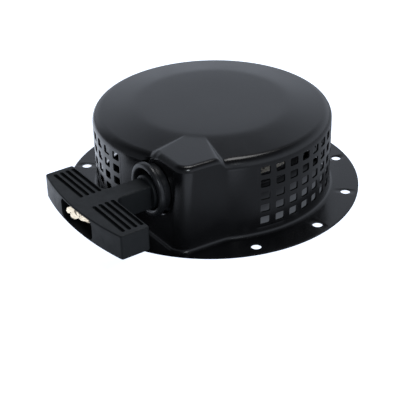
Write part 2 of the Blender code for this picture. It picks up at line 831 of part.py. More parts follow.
def cam_point(swing_share):
    """Where a pawl's peg stands in the friction plate when the pawl is this share of its swing out."""
    swing = Matrix.Rotation(PAWL_SWING * swing_share, 2)
    place = Vector((PAWL_PIN_CIRCLE, 0.0)) + swing @ Vector(PEG_PLACE)
    return Matrix.Rotation(-GUIDE_PLATE_TURN * swing_share, 2) @ place


def cam_slot(half_turn):
    """Outline of a cam slot: the peg's path with clearance on both sides and round ends."""
    steps = 6
    path = [cam_point(i / steps) for i in range(steps + 1)]
    sides = []
    for i in range(steps + 1):
        along = (path[min(i + 1, steps)] - path[max(i - 1, 0)]).normalized()
        sides.append(Vector((-along.y, along.x)) * CAM_SLOT_HALF_WIDTH)
    left = [point + side for point, side in zip(path, sides)]
    right = [point - side for point, side in zip(path, sides)]

    def cap(point, side):
        turns = [Matrix.Rotation(-math.pi * i / 6, 2) for i in range(1, 6)]
        return [point + turn @ side for turn in turns]

    outline = left + cap(path[-1], sides[-1]) + list(reversed(right)) + cap(path[0], -sides[0])
    turned_outline = [Matrix.Rotation(half_turn, 2) @ point for point in outline]
    return [tuple(point) for point in turned_outline]


def leg_hole(side):
    centre = polar(FRICTION_LEG_RADIUS, math.pi / 2 + side * FRICTION_LEG_ANGLE)
    return arc(centre, FRICTION_WIRE_RADIUS + 2 * GAP, 0.0, math.tau * 11 / 12, 11)


def make_friction_plate(parts, steel):
    rim = arc((0.0, 0.0), GUIDE_PLATE_RADIUS, 0.0, math.tau * 39 / 40, 39)
    bore = arc((0.0, 0.0), POST_RADIUS + 2 * GAP, 0.0, math.tau * 23 / 24, 23)
    outlines = [rim, bore, cam_slot(0.0), cam_slot(math.pi), leg_hole(1), leg_hole(-1)]
    flat_outline("friction_plate", outlines, GUIDE_PLATE_BOTTOM, GUIDE_PLATE_TOP, parts, steel)


def make_friction_spring(parts, steel):
    """A split ring that grips the post, with a leg at each end hooked through the plate."""
    height = GUIDE_PLATE_TOP + GAP + FRICTION_WIRE_RADIUS
    steps = 20
    first = math.pi / 2 + FRICTION_LEG_ANGLE
    last = math.pi / 2 - FRICTION_LEG_ANGLE + math.tau
    angles = [first + (last - first) * i / steps for i in range(steps + 1)]
    ring = [Vector((*polar(FRICTION_RING_RADIUS, angle), height)) for angle in angles]
    legs = []
    for angle in (first, last):
        out = Vector((*polar(FRICTION_LEG_RADIUS, angle), height))
        legs.append([out, Vector((out.x, out.y, GUIDE_PLATE_BOTTOM))])
    points = list(reversed(legs[0])) + ring + legs[1]
    wire("friction_spring", points, FRICTION_WIRE_RADIUS, parts, steel)


# ---------------------------------------------------------------- handle
def grip_outline():
    """Plan outline of the T shaped handle about its own centre line, anticlockwise from the stem's end."""
    back = (STEM_HALF_WIDTH, GRIP_BACK_Y)
    end_back = (GRIP_HALF_LENGTH, GRIP_BACK_Y)
    end_front = (GRIP_HALF_LENGTH, GRIP_CORNER_Y)
    sag = GRIP_CORNER_Y - GRIP_FRONT_Y
    front_radius = (GRIP_HALF_LENGTH**2 + sag**2) / (2 * sag)
    half_turn = math.asin(GRIP_HALF_LENGTH / front_radius)
    front = arc(
        (0.0, GRIP_FRONT_Y + front_radius),
        front_radius,
        1.5 * math.pi + half_turn * 0.94,
        1.5 * math.pi,
        7,
    )
    right = [(STEM_HALF_WIDTH, STEM_END_Y)]
    right += rounded_corner((STEM_HALF_WIDTH, STEM_END_Y), back, end_back, STEM_FILLET, 4)
    right += rounded_corner(back, end_back, end_front, GRIP_CORNER_RADIUS, 3)
    right += rounded_corner(end_back, end_front, front[0], GRIP_CORNER_RADIUS, 3)
    right += front
    left = [(-x, y) for x, y in reversed(right[:-1])]
    return right + left


def make_handle(parts, cutters, plastic):
    outline = [(ROPE_X + x, y) for x, y in grip_outline()]
    grip = flat_outline("handle_grip", [outline], GRIP_BOTTOM, GRIP_TOP, parts, plastic)
    edges = grip.modifiers.new("Edges", "BEVEL")
    edges.width = GRIP_EDGE
    edges.segments = 2
    edges.limit_method = "ANGLE"
    edges.angle_limit = math.radians(60.0)
    collar = rods(
        "handle_collar", [(0.0, 0.0)], COLLAR_RADIUS, -COLLAR_BACK_Y, -COLLAR_FRONT_Y, FINE_STEPS, cutters
    )
    boolean(grip, as_cutter(along_rope(collar, ROPE_X, ROPE_Z)), "UNION")
    slots = (
        ("knot_slot", KNOT_SLOT_HALF_LENGTH, KNOT_SLOT_HALF_HEIGHT, KNOT_SLOT_STEP_Y),
        ("knot_slot_low", KNOT_SLOT_LOW_HALF_LENGTH, KNOT_SLOT_LOW_HALF_HEIGHT, KNOT_SLOT_BACK_Y),
    )
    for slot in slots:
        boolean(grip, as_cutter(knot_slot(*slot, cutters)), "DIFFERENCE")
    boolean(grip, as_cutter(rib_grooves(cutters)), "DIFFERENCE")
    rope_hole = rods(
        "handle_rope_hole",
        [(0.0, 0.0)],
        ROPE_RADIUS + GAP,
        -COLLAR_BACK_Y - SHEET,
        -KNOT_SLOT_BACK_Y + SHEET,
        12,
        cutters,
    )
    boolean(grip, as_cutter(along_rope(rope_hole, ROPE_X, ROPE_Z)), "DIFFERENCE")


def knot_slot(name, half_length, half_height, back_y, cutters):
    """One step of the pocket in the grip's front that takes the rope's knot, as a block with rounded corners."""
    radius = KNOT_SLOT_CORNER_RADIUS
    outline = []
    for quarter, (side_x, side_z) in enumerate(((1, 1), (-1, 1), (-1, -1), (1, -1))):
        centre = (side_x * (half_length - radius), side_z * (half_height - radius))
        outline += arc(centre, radius, quarter * math.pi / 2, (quarter + 1) * math.pi / 2, 4)
    block = flat_outline(name, [outline], -back_y, -GRIP_FRONT_Y + 0.004, cutters)
    block.matrix_world = (
        Matrix.Translation((KNOT_SLOT_X, 0.0, (GRIP_BOTTOM + GRIP_TOP) / 2))
        @ Matrix.Rotation(math.radians(90.0), 4, "X")
        @ block.matrix_world
    )
    return block


def rib_grooves(cutters):
    """Grooves along the top of each half of the grip, which leave raised ribs."""
    shape = bmesh.new()
    length = RIB_GROOVE_END - RIB_GROOVE_START
    size = Matrix.Diagonal((length, RIB_GROOVE_WIDTH, 2 * RIB_GROOVE_DEPTH, 1.0))
    for side in (-1, 1):
        x = ROPE_X + side * (RIB_GROOVE_START + RIB_GROOVE_END) / 2
        for y in RIB_GROOVES_Y:
            bmesh.ops.create_cube(shape, size=1.0, matrix=Matrix.Translation((x, y, GRIP_TOP)) @ size)
    return add_object("rib_grooves", mesh_from_bmesh("rib_grooves", shape), cutters)


# ---------------------------------------------------------------- assembly
def move_to_origin(parts, cutters):
    """Hangs everything on an empty on the drum's axis, which then stands in its place."""
    shapes = list(parts.objects) + list(cutters.objects)
    axis = add_object("drum_axis", None, parts)
    for obj in shapes:
        obj.parent = axis
    axis.location.y = DRUM_AXIS_Y


def main():
    for obj in list(bpy.data.objects):
        bpy.data.objects.remove(obj)
    parts = new_collection("recoil_starter")
    cutters = new_collection("cutters")
    zinc = zinc_steel()
    spring = spring_steel()
    hard = hardened_steel()
    rope = braided_rope()
    plastic = black_plastic()

    make_housing(parts, cutters, black_paint())
    make_post(parts, zinc)
    make_center_screw(parts, cutters, zinc)
    make_rope_guide(parts, plastic, spring)
    make_reel(parts, cutters, black_nylon(), bronze())
    make_rope(parts, rope)
    make_spring(parts, spring)
    for index in (1, 2):
        make_pawl(index, parts, cutters, hard)
        make_pawl_pin(index, parts, zinc)
        make_pawl_clip(index, parts, spring)
        make_pawl_spring(index, parts, spring)
    make_friction_plate(parts, zinc)
    make_friction_spring(parts, spring)
    make_handle(parts, cutters, plastic)
    move_to_origin(parts, cutters)


main()
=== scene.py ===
import json
import math

import bmesh
import bpy
import numpy as np
from mathutils import Matrix, Vector


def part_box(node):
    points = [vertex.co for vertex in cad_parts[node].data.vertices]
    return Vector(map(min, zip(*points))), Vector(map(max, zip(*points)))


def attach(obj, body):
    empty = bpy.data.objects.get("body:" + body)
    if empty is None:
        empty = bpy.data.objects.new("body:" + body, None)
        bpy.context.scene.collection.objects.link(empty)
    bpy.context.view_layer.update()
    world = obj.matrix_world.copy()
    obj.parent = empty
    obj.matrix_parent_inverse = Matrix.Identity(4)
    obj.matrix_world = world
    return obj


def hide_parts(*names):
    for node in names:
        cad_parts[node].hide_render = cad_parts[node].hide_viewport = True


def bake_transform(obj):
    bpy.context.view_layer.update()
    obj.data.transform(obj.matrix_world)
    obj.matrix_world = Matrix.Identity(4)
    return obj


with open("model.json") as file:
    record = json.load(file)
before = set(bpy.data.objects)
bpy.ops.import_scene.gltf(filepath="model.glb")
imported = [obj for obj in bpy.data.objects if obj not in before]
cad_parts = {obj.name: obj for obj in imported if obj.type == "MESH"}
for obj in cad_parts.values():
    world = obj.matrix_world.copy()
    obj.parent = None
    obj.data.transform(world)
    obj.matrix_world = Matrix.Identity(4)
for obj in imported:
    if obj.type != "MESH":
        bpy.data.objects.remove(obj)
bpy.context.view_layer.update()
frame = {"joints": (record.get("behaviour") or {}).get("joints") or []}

# Lengths are in metres and measured from the drum's axis, in the plane of the flange's underside.
JOINTS = {joint["name"]: joint for joint in frame["joints"]}
AXIS_Y = JOINTS["reel_spin"]["pos_m"][1]
TO_ROW_FRAME = Matrix.Translation((0.0, AXIS_Y, 0.0))


def box_from_axis(node):
    """Lowest and highest corner of a CAD node, measured from the drum's axis."""
    shift = Vector((0.0, AXIS_Y, 0.0))
    low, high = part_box(node)
    return low - shift, high - shift


# ---------------------------------------------------------------- sizes of the housing
FLANGE_RADIUS = 0.1225
SHEET = 0.0015
TOP_HEIGHT = box_from_axis("housing")[1].z
BOLT_CIRCLE_RADIUS = 0.1125
BOLT_HOLE_RADIUS = 0.0042
FIRST_BOLT = math.radians(11.9)
BOLT_PLACES = 12
BOLT_PLACE_UNDER_CORNER = 10

DRUM_RADIUS = 0.098
BASE_FILLET = 0.0035
DRUM_RIM_FILLET = 0.008
CORNER_RIM_FILLET = 0.0048
PLATEAU_RADIUS = 0.0625
CONE_ANGLE = math.radians(7.95)
CORNER_TOP = 0.0735

HOLE_WIDTH = 0.0082
HOLE_HEIGHT = 0.0068
HOLE_CORNER = 0.0012
HOLE_ROWS = 5
LOWEST_ROW = 0.0138
ROW_PITCH = 0.0109
CELLS_TOP = 0.0616
COLUMN_PITCH = math.radians(360.0 / 46)
RIGHT_COLUMNS = 19
RIGHT_COLUMNS_START = math.radians(-10.7)
LEFT_COLUMNS = 18
LEFT_COLUMNS_START = RIGHT_COLUMNS_START - 9.5 * COLUMN_PITCH

# Plan of the square corner: its front wall, its side wall and the round between them.
CORNER_FRONT_Y = -0.0860
CORNER_SIDE_FOOT = (0.0836, -0.0860)
CORNER_SIDE_END = (0.0860, -0.0482)
CORNER_RADIUS = 0.011
CORNER_DRAFT = 0.0040
# The raised top of the corner ends along these two lines.
LEFT_CREASE = ((0.0385, -0.0520), (0.0400, -0.0810))
BACK_CREASE = ((0.0470, -0.0410), (0.0800, -0.0475))
CREASE_SLOPE = 0.85
CREASE_SHARPNESS = 5.0

GUIDE_X = 0.0502
GUIDE_Z = 0.0460
GUIDE_SEAT_Y = -0.0860
GUIDE_FRONT_Y = -0.0970
GUIDE_BACK_Y = -0.0805
GUIDE_FLANGE_RADIUS = 0.0217
GUIDE_LIP_DEPTH = 0.0048
GUIDE_WAIST_RADIUS = 0.0188
GUIDE_MOUTH_RADIUS = 0.0160
GUIDE_NECK_RADIUS = 0.0160
GUIDE_THROAT_RADIUS = 0.0065
RETAINER_RADIUS = 0.0205
GAP = 0.0003

# ---------------------------------------------------------------- sizes of the rope
ROPE_RADIUS = 0.0024
ROPE_X = 0.0520
ROPE_Z = 0.0455
ROPE_BEND_Y = -0.0830
ROPE_SPLIT_Y = -0.0885
PULL_START_Y = -0.0872
PULL_END_Y = -0.0940
COIL_RADIUS = 0.0732
COIL_TURNS = 2
COIL_TOP = 0.0484
COIL_PITCH = 0.00535
KNOT_PLACE = (0.0462, -0.1540, 0.0448)
KNOT_ROPE_RADIUS = 0.0026
ROPE_STEPS = 48
ROPE_SPACING = 0.00045
BRAID_STRANDS = 8
BRAID_LAY = 0.0031
BRAID_RELIEF = 0.00035
ROPE_LIGHT = (0.80, 0.75, 0.64)
ROPE_WORN = (0.62, 0.56, 0.46)
ROPE_TRACER = (0.06, 0.05, 0.045)
PAINT = (0.0036, 0.0036, 0.0042)
PAINT_DUSTY = (0.0060, 0.0061, 0.0067)

# ---------------------------------------------------------------- sizes of the handle
GRIP_HALF_LENGTH = 0.0556
GRIP_BACK_Y = -0.1292
GRIP_CORNER_Y = -0.1526
GRIP_FRONT_Y = -0.1595
GRIP_BOTTOM = 0.0351
GRIP_TOP = 0.0545
GRIP_CORNER_RADIUS = 0.0020
GRIP_EDGE = 0.0010
STEM_HALF_WIDTH = 0.0085
STEM_END_Y = -0.0950
STEM_FILLET = 0.0060
COLLAR_RADIUS = 0.0135
COLLAR_FRONT_Y = -0.0985
COLLAR_BACK_Y = -0.0925
RIB_GROOVES_Y = (-0.1320, -0.1371, -0.1422, -0.1473)
RIB_GROOVE_WIDTH = 0.0031
RIB_GROOVE_DEPTH = 0.0028
RIB_GROOVE_START = 0.0080
RIB_GROOVE_END = 0.0508
KNOT_SLOT_X = 0.0535
KNOT_SLOT_HALF_LENGTH = 0.0222
KNOT_SLOT_HALF_HEIGHT = 0.0083
KNOT_SLOT_CORNER_RADIUS = 0.0045
KNOT_SLOT_BACK_Y = -0.1430
KNOT_SLOT_STEP_Y = -0.1495
KNOT_SLOT_LOW_HALF_LENGTH = 0.0212
KNOT_SLOT_LOW_HALF_HEIGHT = 0.0060

# ---------------------------------------------------------------- sizes inside the housing
REEL_RADIUS = 0.0775
REEL_TOP = 0.0530
REEL_RIM_BOTTOM = 0.0334
REEL_FACE = 0.0296
GROOVE_TOP = 0.0513
GROOVE_BOTTOM = 0.0350
GROOVE_RADIUS = 0.0700
REEL_RIM_INSIDE = 0.0623
REEL_BOSS_RADIUS = 0.0370
REEL_WEB_BOTTOM = 0.0460
REEL_BORE = 0.0143
REEL_RIBS = 12
ROPE_HOLE_RADIUS = 0.0034
POST_RADIUS = 0.0100
POST_TENON_RADIUS = 0.0067
PLATE_RADIUS = 0.0280
PLATE_BOTTOM = 0.0702
PLATE_TOP = 0.0722
SCREW_RADIUS = 0.0030
WASHER_RADIUS = 0.0160
WASHER_BOTTOM = 0.0152
WASHER_TOP = 0.0167
CUP_RADIUS = 0.0460
CUP_BOTTOM = 0.0533
CUP_TOP = 0.0675
CUP_SHEET = 0.0010
CUP_HOLE = 0.0125
PAWL_PIN_CIRCLE = 0.0240
PAWL_PIN_RADIUS = 0.0030
PIN_TOP = REEL_FACE + 4 * PAWL_PIN_RADIUS

# ---------------------------------------------------------------- light
WORLD_LEVELS = ((0.02, 0.72), (0.28, 0.76), (0.46, 0.66), (0.56, 0.50), (0.68, 0.27), (0.80, 0.10))
WORLD_TINT = (0.90, 0.97, 1.10)
WORLD_DARK_SIDE = 0.30
# Painted shadow of the housing on the floor, seen through the holes: the floor's brightness to the camera goes by the
# distance from the drum's axis, in drum radii, and inside the drum it fades out towards the left between these two X
# values.
FLOOR_LIGHT = ((0.30, 0.006), (0.62, 0.030), (0.80, 0.075), (0.995, 0.085), (1.04, 0.97))
FLOOR_LIT_FROM_X = (0.025, 0.055)
FLOOR_DARK_PLACE = (0.050, -0.080, 0.0)
FLOOR_MIRRORED = ((0.05, 0.01), (0.098, 0.17), (0.125, 0.34), (0.18, 0.34))
# Brighter places on the mirrored floor: at the left, at the right of the handle and in front of it.
FLOOR_BRIGHT_PLACES = (
    ((-0.260, -0.100, 0.0), ((0.20, 0.9), (0.24, 0.20), (0.27, 0.0))),
    ((0.246, -0.112, 0.0), ((0.078, 0.55), (0.090, 0.22), (0.105, 0.0))),
    ((0.020, -0.280, 0.0), ((0.090, 0.55), (0.120, 0.25), (0.160, 0.0))),
)
FLOOR_REACH = 0.4
# Painted light: the knot in the handle glows to the camera by this much of its own colour, so it looks brighter than
# the lamps make it.
KNOT_GLOW = 1.2


# ---------------------------------------------------------------- mesh helpers
def smooth_max(a, b, softness):
    """The larger of a and b, with the corner between them rounded."""
    return (a + b + np.sqrt((a - b) ** 2 + softness**2)) / 2


def rounded_min(a, b, sharpness):
    """The smaller of two positive numbers, with the corner between them rounded; 0 where either is 0."""
    a = np.maximum(a, 1e-9)
    b = np.maximum(b, 1e-9)
    return (a**-sharpness + b**-sharpness) ** (-1 / sharpness)


def grid_faces(rows, columns, closed_rows, closed_columns):
    """Quads of a grid of rows x columns points, numbered row by row."""
    row = np.arange(rows if closed_rows else rows - 1)
    column = np.arange(columns if closed_columns else columns - 1)
    row, column = np.meshgrid(row, column, indexing="ij")
    next_row = (row + 1) % rows
    next_column = (column + 1) % columns
    quads = np.stack(
        [
            row * columns + column,
            row * columns + next_column,
            next_row * columns + next_column,
            next_row * columns + column,
        ],
        axis=-1,
    )
    return quads.reshape(-1, 4)


class Builder:
    """Collects points and faces of one mesh."""

    def __init__(self):
        self.points = []
        self.faces = []
        self.count = 0

    def add(self, points, faces):
        points = np.asarray(points, float).reshape(-1, 3)
        self.points.append(points)
        self.faces += [[int(i) + self.count for i in face] for face in faces]
        self.count += len(points)

    def add_grid(self, points, closed_rows=False, closed_columns=False):
        points = np.asarray(points, float)
        rows, columns = points.shape[:2]
        self.add(points, grid_faces(rows, columns, closed_rows, closed_columns))

    def mesh(self, name, merge=2e-6):
        made = bpy.data.meshes.new(name)
        made.from_pydata(np.concatenate(self.points).tolist(), [], self.faces)
        shape = bmesh.new()
        shape.from_mesh(made)
        bmesh.ops.remove_doubles(shape, verts=shape.verts, dist=merge)
        bmesh.ops.recalc_face_normals(shape, faces=shape.faces)
        shape.to_mesh(made)
        shape.free()
        return made


def shaded(mesh, sharp_degrees=38.0):
    mesh.shade_smooth()
    mesh.set_sharp_from_angle(angle=math.radians(sharp_degrees))
    return mesh


def link(name, mesh):
    obj = bpy.data.objects.new(name, mesh)
    bpy.context.scene.collection.objects.link(obj)
    return obj


def baked(obj):
    """The object's mesh with its modifiers applied, and the object gone."""
    bpy.context.view_layer.update()
    evaluated = obj.evaluated_get(bpy.context.evaluated_depsgraph_get())
    mesh = bpy.data.meshes.new_from_object(evaluated)
    mesh.name = obj.name
    bpy.data.objects.remove(obj)
    return mesh


def cut(mesh, cutters, operation="DIFFERENCE", solver="EXACT"):
    """The mesh after a Boolean with each cutter mesh in turn."""
    obj = link("cut", mesh)
    helpers = []
    for cutter in cutters:
        helper = link("cutter", cutter)
        helper.hide_render = True
        helpers.append(helper)
        step = obj.modifiers.new("Cut", "BOOLEAN")
        step.object = helper
        step.operation = operation
        step.solver = solver
    made = baked(obj)
    for helper in helpers:
        bpy.data.objects.remove(helper)
    return made


def bevelled(mesh, width, segments=2, angle_degrees=45.0):
    obj = link("bevel", mesh)
    step = obj.modifiers.new("Bevel", "BEVEL")
    step.width = width
    step.segments = segments
    step.limit_method = "ANGLE"
    step.angle_limit = math.radians(angle_degrees)
    step.miter_outer = "MITER_ARC"
    step.use_clamp_overlap = True
    return baked(obj)


def solidified(mesh, thickness):
    """The sheet thickened to its inside."""
    obj = link("sheet", mesh)
    step = obj.modifiers.new("Sheet", "SOLIDIFY")
    step.thickness = thickness
    step.offset = -1.0
    step.use_even_offset = True
    return baked(obj)


def add_piece(name, mesh, body, material, stands_for=(), sharp_degrees=38.0):
    """Puts a mesh measured from the drum's axis in its place, riding on a body."""
    mesh.transform(TO_ROW_FRAME)
    mesh.name = name
    mesh.materials.clear()
    mesh.materials.append(material)
    shaded(mesh, sharp_degrees)
    obj = link(name, mesh)
    if body is not None:
        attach(obj, body)
    if stands_for:
        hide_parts(*stands_for)
    return obj


def rounded_profile(points, radii, segments=5):
    """A profile of (radius, height) points with each corner rounded by its own radius."""
    made = []
    count = len(points)
    for i in range(count):
        corner = Vector(points[i])
        before = Vector(points[i - 1])
        after = Vector(points[(i + 1) % count])
        radius = radii[i]
        if radius <= 0:
            made.append(tuple(corner))
            continue
        to_before = (before - corner).normalized()
        to_after = (after - corner).normalized()
        half = to_before.angle(to_after) / 2
        if math.pi / 2 - half < 0.01:
            made.append(tuple(corner))
            continue
        reach = min(radius / math.tan(half), (before - corner).length * 0.49, (after - corner).length * 0.49)
        radius = reach * math.tan(half)
        centre = corner + (to_before + to_after).normalized() * (radius / math.sin(half))
        first = corner + to_before * reach - centre
        last = corner + to_after * reach - centre
        turn = -first.angle_signed(last)
        for step in range(segments + 1):
            made.append(tuple(centre + Matrix.Rotation(turn * step / segments, 2) @ first))
    return made


def turned_mesh(name, profile, steps, closed=True):
    """A profile of (radius, height) turned about Z; an open profile starts and ends on the axis."""
    angles = np.arange(steps) * (math.tau / steps)
    profile = np.array(profile, float)
    radius, height = profile[:, 0], profile[:, 1]
    points = np.empty((steps, len(profile), 3))
    points[..., 0] = np.cos(angles)[:, None] * radius
    points[..., 1] = np.sin(angles)[:, None] * radius
    points[..., 2] = height
    builder = Builder()
    builder.add_grid(points, closed_rows=True, closed_columns=closed)
    return builder.mesh(name)


ALONG_ROPE = Matrix.Rotation(math.radians(90.0), 4, "X")


def cylinder_mesh(radius, bottom, top, steps, place=(0.0, 0.0)):
    shape = bmesh.new()
    bmesh.ops.create_cone(
        shape,
        cap_ends=True,
        segments=steps,
        radius1=radius,
        radius2=radius,
        depth=top - bottom,
        matrix=Matrix.Translation((place[0], place[1], (top + bottom) / 2)),
    )
    mesh = bpy.data.meshes.new("cylinder")
    shape.to_mesh(mesh)
    shape.free()
    return mesh


# ---------------------------------------------------------------- housing
def corner_distance(x, y, front_y):
    """Signed distance to the outside of the square corner's two walls, with their corner rounded."""
    foot = np.array(CORNER_SIDE_FOOT)
    along = np.array(CORNER_SIDE_END) - foot
    along = along / np.hypot(*along)
    front = front_y - y
    side = (x - foot[0]) * along[1] - (y - foot[1]) * along[0]
    front_in = front + CORNER_RADIUS
    side_in = side + CORNER_RADIUS
    outside = np.hypot(np.maximum(front_in, 0.0), np.maximum(side_in, 0.0))
    inside = np.minimum(np.maximum(front_in, side_in), 0.0)
    return inside + outside - CORNER_RADIUS


def outline_radius(angle, height):
    """Polar radius of the housing's wall: the drum, and the square corner where that stands out of it.

    The corner's front wall leans out towards its foot.
    """
    front_y = CORNER_FRONT_Y - CORNER_DRAFT * (1 - height / CORNER_TOP)
    angle = np.asarray(angle, float)
    low = np.full_like(angle, 0.05)
    high = np.full_like(angle, 0.20)
    for _ in range(40):
        middle = (low + high) / 2
        inside = corner_distance(middle * np.cos(angle), middle * np.sin(angle), front_y) < 0
        low = np.where(inside, middle, low)
        high = np.where(inside, high, middle)
    in_corner = (np.sin(angle) < 0) & (np.cos(angle) > 0)
    box = np.where(in_corner, low, 0.0)
    return np.where(in_corner, smooth_max(DRUM_RADIUS, box, 0.002), DRUM_RADIUS)


def polar_points(radius, angle):
    return np.stack([radius * np.cos(angle), radius * np.sin(angle)], axis=-1)


def wall_points(angle, height):
    """Plan points of the wall at a height, and their outward normals."""
    step = 1e-4
    points = polar_points(outline_radius(angle, height), angle)
    after = polar_points(outline_radius(angle + step, height), angle + step)
    before = polar_points(outline_radius(angle - step, height), angle - step)
    along = after - before
    along = along / np.hypot(along[..., 0], along[..., 1])[..., None]
    normals = np.stack([along[..., 1], -along[..., 0]], axis=-1)
    return points, normals


def line_distance(x, y, line):
    """Distance to the left of a line, seen from its first point."""
    (x0, y0), (x1, y1) = line
    length = math.hypot(x1 - x0, y1 - y0)
    return ((x1 - x0) * (y - y0) - (y1 - y0) * (x - x0)) / length


def top_height(x, y):
    """Height of the drum's top: plateau, cone, and the raised flat of the square corner."""
    radius = np.hypot(x, y)
    fall = smooth_max(0.0, (radius - PLATEAU_RADIUS) * math.tan(CONE_ANGLE), 0.0006)
    drum = TOP_HEIGHT - fall
    from_left = smooth_max(0.0, line_distance(x, y, LEFT_CREASE), 0.0005)
    from_back = smooth_max(0.0, -line_distance(x, y, BACK_CREASE), 0.0005)
    raised = CREASE_SLOPE * rounded_min(from_left, from_back, CREASE_SHARPNESS)
    to_flat = smooth_max(CORNER_TOP - drum, 0.0, 0.0002)
    return drum + rounded_min(to_flat, raised, CREASE_SHARPNESS)


def corner_share(angle):
    """1 within the square corner, 0 on the drum, with a short change between."""
    stands_out = (outline_radius(angle, CORNER_TOP) - DRUM_RADIUS) / 0.003
    share = np.clip(stands_out, 0.0, 1.0)
    return share * share * (3 - 2 * share)


def housing_angles():
    """Polar angles of the columns of points: the corner, then the right columns, a plain strip, the left columns."""
    corner_start = LEFT_COLUMNS_START + COLUMN_PITCH / 2
    corner_end = RIGHT_COLUMNS_START - COLUMN_PITCH / 2
    strip_start = corner_end + RIGHT_COLUMNS * COLUMN_PITCH
    strip_end = corner_start + math.tau - LEFT_COLUMNS * COLUMN_PITCH
    full_turn = corner_start + math.tau
    corner = np.linspace(corner_start, corner_end, 266, endpoint=False)
    right = np.linspace(corner_end, strip_start, RIGHT_COLUMNS * CELL_COLUMNS, endpoint=False)
    strip = np.linspace(strip_start, strip_end, CELL_COLUMNS, endpoint=False)
    left = np.linspace(strip_end, full_turn, LEFT_COLUMNS * CELL_COLUMNS, endpoint=False)
    cells = [corner_end + i * COLUMN_PITCH for i in range(RIGHT_COLUMNS)]
    cells += [strip_end + i * COLUMN_PITCH for i in range(LEFT_COLUMNS)]
    return np.concatenate([corner, right, strip, left]), corner, strip, cells


CELL_COLUMNS = 8
CELL_SUBROWS = 6
FILLET_STEPS = 7
TOP_RINGS = 50


def hole_loop():
    """Points (across, up) of a hole's rounded outline, from its lower left corner anticlockwise, to match a cell's edge."""
    inner_x = HOLE_WIDTH / 2 - HOLE_CORNER
    inner_z = HOLE_HEIGHT / 2 - HOLE_CORNER

    def corner(side_x, side_z, from_side):
        """Three points on a corner's arc, given as the angle from the upright side's normal."""
        return [
            (
                side_x * (inner_x + HOLE_CORNER * math.cos(math.radians(a))),
                side_z * (inner_z + HOLE_CORNER * math.sin(math.radians(a))),
            )
            for a in from_side
        ]

    def between(a, b, count):
        return [
            (a[0] + (b[0] - a[0]) * i / (count + 1), a[1] + (b[1] - a[1]) * i / (count + 1))
            for i in range(1, count + 1)
        ]

    def side(first, last, count):
        return first + between(first[-1], last[0], count) + last

    bottom = side(corner(-1, -1, (45, 67.5, 90)), corner(1, -1, (90, 67.5, 45)), 3)
    right = side(corner(1, -1, (45, 22.5, 0)), corner(1, 1, (0, 22.5, 45)), 1)
    top = side(corner(1, 1, (45, 67.5, 90)), corner(-1, 1, (90, 67.5, 45)), 3)
    left = side(corner(-1, 1, (45, 22.5, 0)), corner(-1, -1, (0, 22.5, 45)), 1)
    return np.array(bottom[:-1] + right[:-1] + top[:-1] + left[:-1])


def cell_loop(width, low, high):
    """Points (across, up) along a cell's edge, from its lower left corner anticlockwise."""
    across = np.linspace(-width / 2, width / 2, CELL_COLUMNS + 1)
    up = np.linspace(low, high, CELL_SUBROWS + 1)
    bottom = [(x, low) for x in across[:-1]]
    right = [(width / 2, z) for z in up[:-1]]
    top = [(x, high) for x in across[:0:-1]]
    left = [(-width / 2, z) for z in up[:0:-1]]
    return np.array(bottom + right + top + left)


def cell_boundaries():
    edges = [LOWEST_ROW + (row - 0.5) * ROW_PITCH for row in range(HOLE_ROWS)]
    return edges + [CELLS_TOP]


def add_cells(builder, cells):
    """The drum's wall around each hole, as loops of points from the cell's edge to the hole."""
    width = COLUMN_PITCH * DRUM_RADIUS
    hole = hole_loop()
    edges = cell_boundaries()
    for start in cells:
        middle = start + COLUMN_PITCH / 2
        for row in range(HOLE_ROWS):
            centre = LOWEST_ROW + row * ROW_PITCH
            edge = cell_loop(width, edges[row] - centre, edges[row + 1] - centre)
            loops = np.stack([edge + (hole - edge) * share for share in (0.0, 0.45, 0.85, 1.0)])
            angle = middle + loops[..., 0] / DRUM_RADIUS
            points = np.stack(
                [DRUM_RADIUS * np.cos(angle), DRUM_RADIUS * np.sin(angle), centre + loops[..., 1]], axis=-1
            )
            builder.add_grid(points, closed_columns=True)


def upright_rows(angle, heights):
    """A grid of wall points at these polar angles and heights."""
    points = np.empty((len(heights), len(angle), 3))
    for row, height in zip(points, heights):
        row[:, :2] = wall_points(angle, height)[0]
        row[:, 2] = height
    return points


